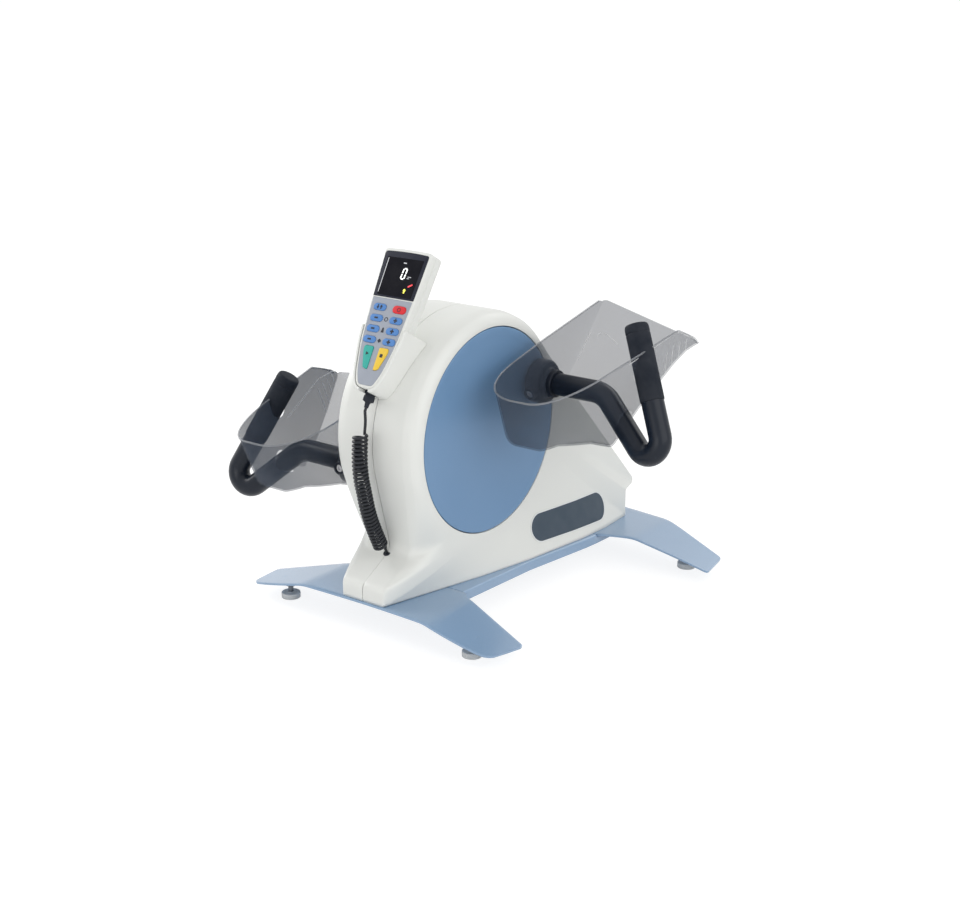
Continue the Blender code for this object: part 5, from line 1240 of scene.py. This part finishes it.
def wedge(side):
    """The tall key under the rows, start on the left and stop on the right."""
    corners = [(0.0052, 0.0462), (0.0212, 0.0462), (0.0218, 0.0400), (0.0135, 0.0150), (0.0052, 0.0130)]
    return soften(np.array(corners) * (side, 1), 0.0028, 6, closed=True)


def key_shapes():
    keys = [("key_direction", pill(-KEY_X, KEY_ROWS[0], KEY_W, KEY_H), "key_blue"),
            ("key_power", pill(KEY_X, KEY_ROWS[0], KEY_W + 0.001, KEY_H + 0.0012), "key_red")]
    for row, what in enumerate(("speed", "load", "time"), start=1):
        for sign, word in ((-1, "minus"), (1, "plus")):
            keys.append(("key_%s_%s" % (what, word), pill(sign * KEY_X, KEY_ROWS[row], KEY_W, KEY_H),
                         "key_blue"))
    return keys + [("key_start", wedge(-1), "key_green"), ("key_stop", wedge(1), "key_yellow")]


def mark(name, outline, out, body, finish="mark", slot="black_plastic"):
    """A thin printed or lit shape on the handset's face."""
    made = plate(name, outline, on_set, out - MARK_T, out + MARK_T * 0.4, finish, 0.00006, 0.0, 2)
    return done(made, body, slot)


def bar(x, up, width, height, lean=0.0):
    """A small rectangle, leaned by an angle, with slightly rounded corners."""
    c, s = math.cos(lean), math.sin(lean)
    corners = np.array([(-width, -height), (width, -height), (width, height), (-width, height)]) / 2
    leaned = corners @ np.array(((c, s), (-s, c)))
    return soften(leaned + (x, up), min(width, height) * 0.25, 2, closed=True)


def key_marks():
    """Plus and minus signs, a start and a stop sign, and the three row signs between the keys."""
    top = 0.0014
    for row, what in enumerate(("speed", "load", "time"), start=1):
        up = KEY_ROWS[row]
        mark("minus_sign_%s" % what, bar(-KEY_X, up, 0.0062, 0.0024), top, "key_%s_minus_body" % what)
        cross = np.array([(1, 3), (1, 1), (3, 1), (3, -1), (1, -1), (1, -3), (-1, -3), (-1, -1), (-3, -1),
                          (-3, 1), (-1, 1), (-1, 3)]) * 0.00105 + (KEY_X, up)
        mark("plus_sign_%s" % what, cross, top, "key_%s_plus_body" % what)
    for sign in (-1, 1):
        x = -KEY_X + sign * 0.0028
        arrow = np.array([(0, 3.2 * sign), (-2.3, 0.2 * sign), (-0.9, 0.2 * sign), (-0.9, -3.0 * sign),
                          (0.9, -3.0 * sign), (0.9, 0.2 * sign), (2.3, 0.2 * sign)]) * 0.0010
        mark("way_sign_%s" % TAGS[sign], arrow + (x, KEY_ROWS[0]), top, "key_direction_body")
    ring("power_sign", KEY_X, KEY_ROWS[0], 0.0022, 0.0030, top, "key_power_body", "mark")
    triangle = np.array([(-2.2, 2.6), (2.6, 0), (-2.2, -2.6)]) * 0.0010 + (-0.0125, 0.0350)
    mark("start_sign", soften(triangle, 0.0004, 3, True), top, "key_start_body")
    mark("stop_sign", bar(0.0125, 0.0350, 0.0050, 0.0050), top, "key_stop_body")
    ring("speed_sign", 0.0, KEY_ROWS[1], 0.0022, 0.0031, 0.0003, "handset", "mark")
    weight = np.array([(-1.1, 3.6), (1.1, 3.6), (1.6, 0.6), (2.6, -3.6), (-2.6, -3.6), (-1.6, 0.6)]) * 0.0010
    mark("load_sign", soften(weight + (0.0, KEY_ROWS[2]), 0.0006, 3, True), 0.0003, "handset")
    mark("time_sign", soften(np.array([(0, 3.2), (3.4, 0), (0, -3.2), (-3.4, 0)]) * 0.0010
                             + (0.0, KEY_ROWS[3]), 0.0010, 3, True), 0.0003, "handset")


def ring(name, x, up, inner, outer, out, body, finish):
    """A flat printed ring on the handset: four circles of a square section."""
    a = angles(32)
    radii = np.array((inner, outer, outer, inner))[:, None]
    lift = np.array((out - 0.0002, out - 0.0002, out + 0.0001, out + 0.0001))[:, None]
    points = on_set(x + radii * np.cos(a), up + radii * np.sin(a), lift + 0 * radii * np.cos(a))
    made = piece(name, points, grid_faces(4, 32, True, True), finish)
    return done(made, body, "black_plastic")


def display_marks():
    """What the display shows: a tall nought, its small unit bars, a level bar and two warning lamps."""
    top = 0.0008
    x, up = 0.0055, 0.1530
    lean = 0.10
    w, h, t = 0.0060, 0.0150, 0.0019

    def slanted(outline):
        return outline + np.stack([(outline[:, 1] - up) * lean, 0 * outline[:, 1]], axis=1)

    segments = {"top": bar(x, up + h / 2, w - t, t), "low": bar(x, up - h / 2, w - t, t)}
    for sign in (-1, 1):
        for end in (-1, 1):
            segments["side_%s_%s" % (TAGS[sign], "high" if end > 0 else "low")] = bar(
                x + sign * w / 2, up + end * h / 4, t, h / 2 - t * 0.6)
    for name, outline in segments.items():
        mark("digit_" + name, slanted(outline), top, "handset", "white_light", slot="display")
    for name, *shape in (("unit_bar_high", 0.0165, 0.1492, 0.0062, 0.0010),
                         ("unit_bar_low", 0.0145, 0.1470, 0.0040, 0.0010),
                         ("mode_bar", 0.0020, 0.1680, 0.0052, 0.0016),
                         ("level_bar", -0.0292, 0.1480, 0.0011, 0.0500)):
        mark(name, bar(*shape), top, "handset", "grey_light", slot="display")
    mark("red_lamp", bar(0.0225, 0.1375, 0.0080, 0.0020, 0.55), top, "handset", "red_light", slot="display")
    lamp = np.array([(-1.0, -3.4), (1.0, -3.4), (1.2, -1.0), (2.4, 1.4), (0.0, 3.4), (-2.4, 1.4), (-1.2, -1.0)])
    mark("yellow_lamp", soften(lamp * 0.0010 + (0.0150, 0.1290), 0.0008, 3, True), top, "handset",
         "yellow_light", slot="display")


CRADLE_WALL = 0.0040
CRADLE_TOP = 0.0750
CRADLE_FIT = 0.0006


def cradle():
    """The holder on the drum: a cup with rounded walls, carved for the handset and for the drum."""
    low = SET_BOTTOM - CRADLE_FIT
    marks = (-0.006, 0.010, 0.053, CRADLE_TOP)
    right = [(0.0150, low - CRADLE_WALL)] + [(float(set_half(m)) + CRADLE_FIT + CRADLE_WALL, m) for m in marks]
    radii = [0.006, 0.012, 0.02, 0.03, 0.002]
    outline = soften(mirrored(right), radii + radii[::-1], 6, closed=True)
    back = DRUM_R * 0.85 - SET_FACE
    made = plate("cradle_cup", outline, on_set, back, 0.0005, "cover", 0.0016, 0.0, 5)
    marks = (low, -0.005, 0.010, 0.053, CRADLE_TOP, CRADLE_TOP + 0.02)
    pocket = [(float(set_half(m)) + CRADLE_FIT, m) for m in marks]
    pocket[0] = (float(set_half(SET_BOTTOM)) + CRADLE_FIT, low)
    radii = [0.006, 0.012, 0.02, 0.03, 0.0, 0.0]
    pocket = soften(mirrored(pocket), radii + radii[::-1], 6, closed=True)
    slot = np.array([(-0.0085, -0.04), (0.0085, -0.04), (0.0085, 0.0), (-0.0085, 0.0)])
    carve(made, plate("pocket_form", pocket, on_set, -SET_T - CRADLE_FIT, 0.02, None),
          plate("slot_form", slot, on_set, -SET_T - CRADLE_FIT + 0.001, 0.02, None),
          turned("drum_form", [(-0.08, 0), (-0.08, DRUM_R + GAP), (0.08, DRUM_R + GAP), (0.08, 0)],
                 at(0, 0, AXIS_Z), (1, 0, 0), None, 256), solver="FAST")
    round_edges(made, 0.0007, 2, 40.0)
    return done(made, "trainer", "white_plastic", "handset_cradle")


# Curly cord

PLUG_OUT = -0.0174
PLUG_LEN = 0.0155
RELIEF_LEN = 0.0085
GROMMET_R = 0.0062
GROMMET_BACK = 0.0085
COIL_POINTS = 18


def smooth_route(points, count):
    """A Catmull-Rom curve through the points, at equal steps along its length."""
    pts = np.asarray(points, float)
    ends = np.vstack([2 * pts[:1] - pts[1:2], pts, 2 * pts[-1:] - pts[-2:-1]])
    s = (np.arange(24) / 24)[None, :, None]
    a, b, c, d = (ends[k:k + len(pts) - 1, None] for k in range(4))
    fine = 0.5 * (2 * b + (c - a) * s + (2 * a - 5 * b + 4 * c - d) * s ** 2 + (3 * b - 3 * c + d - a) * s ** 3)
    fine = np.vstack([fine.reshape(-1, pts.shape[1]), pts[-1:]])
    run = np.concatenate([[0], np.cumsum(np.linalg.norm(np.diff(fine, axis=0), axis=1))])
    want = np.linspace(0, run[-1], count)
    return np.stack([np.interp(want, run, fine[:, k]) for k in range(pts.shape[1])], axis=1)


def grommet_place():
    """Centre of the cord's bush on the sloping foot, and the way out of it."""
    down = unit((-FOOT_FRONT - SLOPE_END[0], FOOT_TOP_Z - SLOPE_END[1]))
    return np.array(SLOPE_END) + down * GROMMET_BACK, np.array((down[1], -down[0]))


def cord_path():
    """The cord's line: a lead from the plug, curls c + R (n cos a + x sin a) along the route, and a
    straight end in the bush. The second array points from the route to the cord, for its section."""
    count = COIL_TURNS * COIL_POINTS + 1
    route = smooth_route(CORD_ROUTE, count)
    centre = at(0.0, route[:, 0], route[:, 1])
    ahead = unit(np.gradient(centre, axis=0))
    inward = np.cross((1.0, 0.0, 0.0), ahead)
    inward = inward * np.sign(inward[:1, 1:2])
    turn = (np.arange(count) * 2 * math.pi / COIL_POINTS)[:, None]
    ray = np.cos(turn) * inward + np.sin(turn) * (1.0, 0.0, 0.0)
    curls = centre + COIL_R * ray
    low = SET_BOTTOM + 0.0006 - GAP - PLUG_LEN - RELIEF_LEN - GAP
    lead = np.stack([on_set(0.0, low, PLUG_OUT), on_set(0.0, low - 2 * CORD_R, PLUG_OUT)])
    first, last = curls[:1], curls[-1:]
    middle = lead[1:] * 0.5 + first * 0.5 + (0, 0.0012, 0.001)
    bridge = smooth_route(np.vstack([lead[1:], middle, first + (0, 0, 0.002)]), 13)[1:-1]
    spot, out = grommet_place()
    mouth = at(0, *(spot + out * 0.0016))
    line = np.array((0, out[0], out[1]))
    end = np.stack([mouth + line * 0.0065, mouth + line * 0.0030, mouth, mouth - line * (WALL + 0.006)])
    turn_in = smooth_route(np.vstack([last, last * 0.45 + end[:1] * 0.55 + (0, 0.0008, -0.0008), end[:1]]),
                           9)[1:-1]
    path = np.vstack([lead, bridge, curls, turn_in, end])
    hint = np.vstack([np.repeat(ray[:1], len(lead) + len(bridge), 0), ray,
                      np.repeat(ray[-1:], len(turn_in) + len(end), 0)])
    return path, hint


def cord():
    """The curly cord and the moulded plug on its upper end."""
    path, hint = cord_path()
    ends = np.vstack([path[:1] + (path[:1] - path[1:2]) * 1e-3, path,
                      path[-1:] + (path[-1:] - path[-2:-1]) * 1e-3])
    made = tube("coiled_cord", ends, capped(len(ends), CORD_R), "cord",
                np.vstack([hint[:1], hint, hint[-1:]]), 12)
    spot, out = grommet_place()
    mouth = at(0, *(spot + out * 0.0016))
    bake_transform(made)
    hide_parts("curly_cord")
    top = SET_BOTTOM + 0.0006 - GAP
    half_w, half_t = 0.0076, 0.0052
    marks = np.array([(top, 0.0), (top, 1.0), (top - PLUG_LEN * 0.30, 1.0), (top - PLUG_LEN * 0.34, 0.90),
                      (top - PLUG_LEN * 0.46, 0.90), (top - PLUG_LEN * 0.50, 1.0), (top - PLUG_LEN * 0.96, 1.0),
                      (top - PLUG_LEN - 0.0006, 0.60), (top - PLUG_LEN - 0.0020, 0.46),
                      (top - PLUG_LEN - RELIEF_LEN, 0.38), (top - PLUG_LEN - RELIEF_LEN, 0.0)])
    marks = soften(marks, [0, 0.0008, 0.0004, 0.0004, 0.0004, 0.0004, 0.0012, 0.001, 0.001, 0.0003, 0], 3)
    a = np.linspace(0, 2 * math.pi, 48, endpoint=False)
    p = 4.0
    ca, sa = np.cos(a), np.sin(a)
    super_x = np.sign(ca) * np.abs(ca) ** (2 / p)
    super_z = np.sign(sa) * np.abs(sa) ** (2 / p)
    points = on_set(marks[:, 1:] * super_x * half_w, marks[:, :1] + 0 * super_x,
                    PLUG_OUT + marks[:, 1:] * super_z * half_t)
    plug = piece("plug", points, grid_faces(len(marks), len(a), False, True), "bush")
    done(plug, "handset", "black_plastic", "cord_plug")
    start = spot - out * (WALL + 0.002)
    step = WALL + 0.002
    bore, neck = CORD_R + GAP, GROMMET_R - 0.0018
    profile = soften([(0, bore), (0, neck), (step + GAP, neck), (step + GAP, GROMMET_R),
                      (step + 0.0016, GROMMET_R - 0.0006), (step + 0.0016, bore)],
                     [0, 0, 0, 0.0004, 0.0008, 0.0004])
    bush = turned("cord_bush", profile, at(0, *start), (0, out[0], out[1]), "bush", 48, ring=True)
    done(bush, "trainer", "black_plastic", "cord_grommet")


# Stage and camera

CAMERA_FROM_AXIS = (1.4054, -1.7472, 0.9231)
LOOK_FROM_AXIS = (0.0549, 0.0, 0.2234)
LENS = 60.0


def camera():
    data = bpy.data.cameras.new("camera")
    data.sensor_width, data.sensor_fit, data.lens = 36.0, "HORIZONTAL", LENS
    made = bpy.data.objects.new("camera", data)
    bpy.context.scene.collection.objects.link(made)
    place = Vector(CAMERA_FROM_AXIS) + Vector((0, AXIS_Y, 0))
    look = Vector(LOOK_FROM_AXIS) + Vector((0, AXIS_Y, 0))
    made.location = place
    made.rotation_euler = (look - place).to_track_quat("-Z", "Y").to_euler()
    bpy.context.scene.camera = made


def seen_ray(f):
    """1 for rays from the camera or by way of gloss or glass, for the pale background."""
    path = f.tree.nodes.new("ShaderNodeLightPath")
    wires = [Wire(f, path.outputs[name]) for name in ("Is Camera Ray", "Is Glossy Ray", "Is Transmission Ray")]
    total = wires[0] + wires[1] + wires[2]
    return total.maths("MINIMUM", total, 1.0)


def lamp(name, place, look, size, power):
    data = bpy.data.lights.new(name, "AREA")
    data.shape, data.size, data.size_y = "RECTANGLE", size[0], size[1]
    data.energy = power
    made = bpy.data.objects.new(name, data)
    bpy.context.scene.collection.objects.link(made)
    made.location = place
    made.rotation_euler = (Vector(look) - Vector(place)).to_track_quat("-Z", "Y").to_euler()


AMBIENT = 0.64
FLOOR_GLOW = 1.22
LAMPS = (("key", (-2.4, -0.3, 1.5), (0, 0, 0.2), (1.4, 1.4), 38.0),
         ("front", (0.1, -2.7, 0.7), (0, 0, 0.25), (1.6, 1.0), 10.0),
         ("side", (2.6, -0.5, 1.5), (0, 0, 0.25), (2.8, 2.4), 31.0),
         ("back", (0.4, 2.4, 2.2), (0, 0, 0.3), (2.0, 1.4), 16.0))


def stage():
    """A pale floor that keeps the shadow, a plain world and four soft lamps."""
    scene = bpy.context.scene
    scene.view_settings.view_transform = "Standard"
    span = np.sinh(np.linspace(-4, 4, 25)) * 3
    x, y = np.meshgrid(span, span)
    floor = piece("floor", np.stack([x, y, 0 * x], -1), grid_faces(25, 25), None)
    face_out(floor)
    f = Finish("pale_floor", Roughness=0.8)
    cloud = f.noise(0.6)
    c = tuple(colours().floor)
    f.set(Base_Color=f.blend(cloud, tint(c, -0.01), c), Specular_IOR_Level=0.1)
    glow = f.add("Emission", None, Color=(1.0, 1.0, 1.0), Strength=FLOOR_GLOW)
    plain = Wire(f, f.shader.outputs[0])
    mixed = f.add("MixShader", None, seen_ray(f) * 0.68, plain, glow)
    f.tree.links.new(mixed.socket, f.output.inputs["Surface"])
    floor.data.materials.append(f.material)
    world = bpy.data.worlds.new("studio")
    scene.world = world
    world.use_nodes = True
    tree = world.node_tree
    back = tree.nodes["Background"]
    back.inputs["Color"].default_value = (1.0, 1.0, 1.0, 1.0)
    f.tree = tree
    w = seen_ray(f)
    level = w * (1.0 - AMBIENT) + AMBIENT
    tree.links.new(level.socket, back.inputs["Strength"])
    for row in LAMPS:
        lamp(*row)


# Solids that keep their own shape

KEPT = {
    "steel": ("frame_upright", "bearing_left", "bearing_right", "gear_motor", "crank_shaft", "motor_pulley",
              "crank_pin_left", "crank_pin_right"),
    "dark_steel": ("foot_stud_front_left", "foot_stud_front_right", "foot_stud_rear_left",
                   "foot_stud_rear_right"),
    "hub": ("crank_pulley", "mains_inlet", "switch_frame", "power_rocker"),
    "bush": ("drive_belt",),
    "board": ("control_board",),
    "copper": ("transformer",),
}


def finish_solids():
    """Gives each solid that is shown as it is its finish."""
    for finish, names in KEPT.items():
        for name in names:
            node = frame["nodes"][name]
            node.data.materials.clear()
            node.data.materials.append(FINISHES[finish])


# Operators, panel and registration

class Build:
    """What the trainer's operators share."""
    bl_options = {"REGISTER", "UNDO"}

    def execute(self, context):
        self.build()
        return {"FINISHED"}


class TRAINER_OT_stage(Build, bpy.types.Operator):
    """Make the finishes, the floor, the lamps and the camera"""
    bl_idname = "trainer.stage"
    bl_label = "Stage and camera"

    def build(self):
        make_finishes()
        camera()
        stage()


class TRAINER_OT_cord(Build, bpy.types.Operator):
    """Make the curly cord with its plug and its bush"""
    bl_idname = "trainer.cord"
    bl_label = "Curly cord"

    def build(self):
        cord()


class TRAINER_OT_housing(Build, bpy.types.Operator):
    """Make both halves of the housing and the bare plates on their sides"""
    bl_idname = "trainer.housing"
    bl_label = "Housing"

    def build(self):
        for side, tag in TAGS.items():
            done(housing_half(side), "trainer", "white_plastic", "housing_shell_" + tag)
            badge(side)


class TRAINER_OT_base(Build, bpy.types.Operator):
    """Make the beam, the folded legs and the levelling feet"""
    bl_idname = "trainer.base"
    bl_label = "Base and feet"

    def build(self):
        front = leg_sheet("front_leg",
                          ([(0.0, -0.2015), (0.060, -0.2025), (0.1456, -0.2057), (0.189, -0.2030),
                            (0.214, -0.1985), (0.2225, -0.1890), (0.2275, -0.1632)],
                           [0, 0.03, 0.03, 0.02, 0.010, 0.008, 0]),
                          ([(0.0, -0.0860), (0.0985, -0.0860), (0.1030, -0.0968), (0.1672, -0.1145),
                            (0.2325, -0.1325), (0.2275, -0.1632)], [0, 0.008, 0.008, 0.02, 0.006, 0]),
                          *FRONT_FOLD)
        done(front, "trainer", "blue_coat", "front_leg_plate")
        rear = leg_sheet("rear_leg",
                         ([(0.0, 0.2280), (0.1120, 0.2280), (0.1260, 0.2370), (0.1565, 0.2491),
                           (0.2430, 0.2550), (0.2950, 0.2550), (0.2900, 0.2850)],
                          [0, 0.006, 0.012, 0.02, 0.02, 0.006, 0]),
                         ([(0.0, 0.3660), (0.0728, 0.3650), (0.1717, 0.3530), (0.2850, 0.3147),
                           (0.2900, 0.2850)], [0, 0.03, 0.03, 0.007, 0]),
                         *REAR_FOLD)
        done(rear, "trainer", "blue_coat", "rear_leg_plate")
        done(channel(), "trainer", "blue_coat", "base_channel")
        for name, foot, fold in (("front", FRONT_FOOT, FRONT_FOLD), ("rear", REAR_FOOT, REAR_FOLD)):
            under = sheet_under(foot[0], *fold)
            leg_bosses(name, foot, under)
            for side, tag in TAGS.items():
                lock_nut(name + "_" + tag, side, foot, under)
                foot_pad(name + "_" + tag, side, foot)


class TRAINER_OT_pedals(Build, bpy.types.Operator):
    """Make the discs, hubs, handles and foot shells of both sides"""
    bl_idname = "trainer.pedals"
    bl_label = "Discs, handles and foot shells"

    def build(self):
        for side in TAGS:
            disc(side)
            hub(side)
            foot_shell(side, handle(side))


class TRAINER_OT_handset(Build, bpy.types.Operator):
    """Make the handset with its keys and display, and its cradle"""
    bl_idname = "trainer.handset"
    bl_label = "Handset and cradle"

    def build(self):
        handset()
        cradle()


class TRAINER_OT_solids(Build, bpy.types.Operator):
    """Give the solids that stay in view their finishes"""
    bl_idname = "trainer.solids"
    bl_label = "Inner parts"

    def build(self):
        finish_solids()


OPERATORS = (TRAINER_OT_stage, TRAINER_OT_cord, TRAINER_OT_housing, TRAINER_OT_base, TRAINER_OT_pedals,
             TRAINER_OT_handset, TRAINER_OT_solids)


class TRAINER_PT_panel(bpy.types.Panel):
    """Lists the sizes, the colours and the operators"""
    bl_label = "Trainer"
    bl_space_type = "VIEW_3D"
    bl_region_type = "UI"
    bl_category = "Trainer"

    def draw(self, context):
        for group in (context.scene.trainer_sizes, context.scene.trainer_colours):
            for name in group.__annotations__:
                self.layout.prop(group, name)
        for operator in OPERATORS:
            self.layout.operator(operator.bl_idname)


CLASSES = (TrainerSizes, TrainerColours, *OPERATORS, TRAINER_PT_panel)


def register():
    for cls in CLASSES:
        bpy.utils.register_class(cls)
    bpy.types.Scene.trainer_sizes = PointerProperty(type=TrainerSizes)
    bpy.types.Scene.trainer_colours = PointerProperty(type=TrainerColours)


def unregister():
    del bpy.types.Scene.trainer_sizes
    del bpy.types.Scene.trainer_colours
    for cls in reversed(CLASSES):
        bpy.utils.unregister_class(cls)


def main():
    register()
    for operator in OPERATORS:
        group, name = operator.bl_idname.split(".")
        getattr(getattr(bpy.ops, group), name)()


if __name__ == "__main__":
    main()
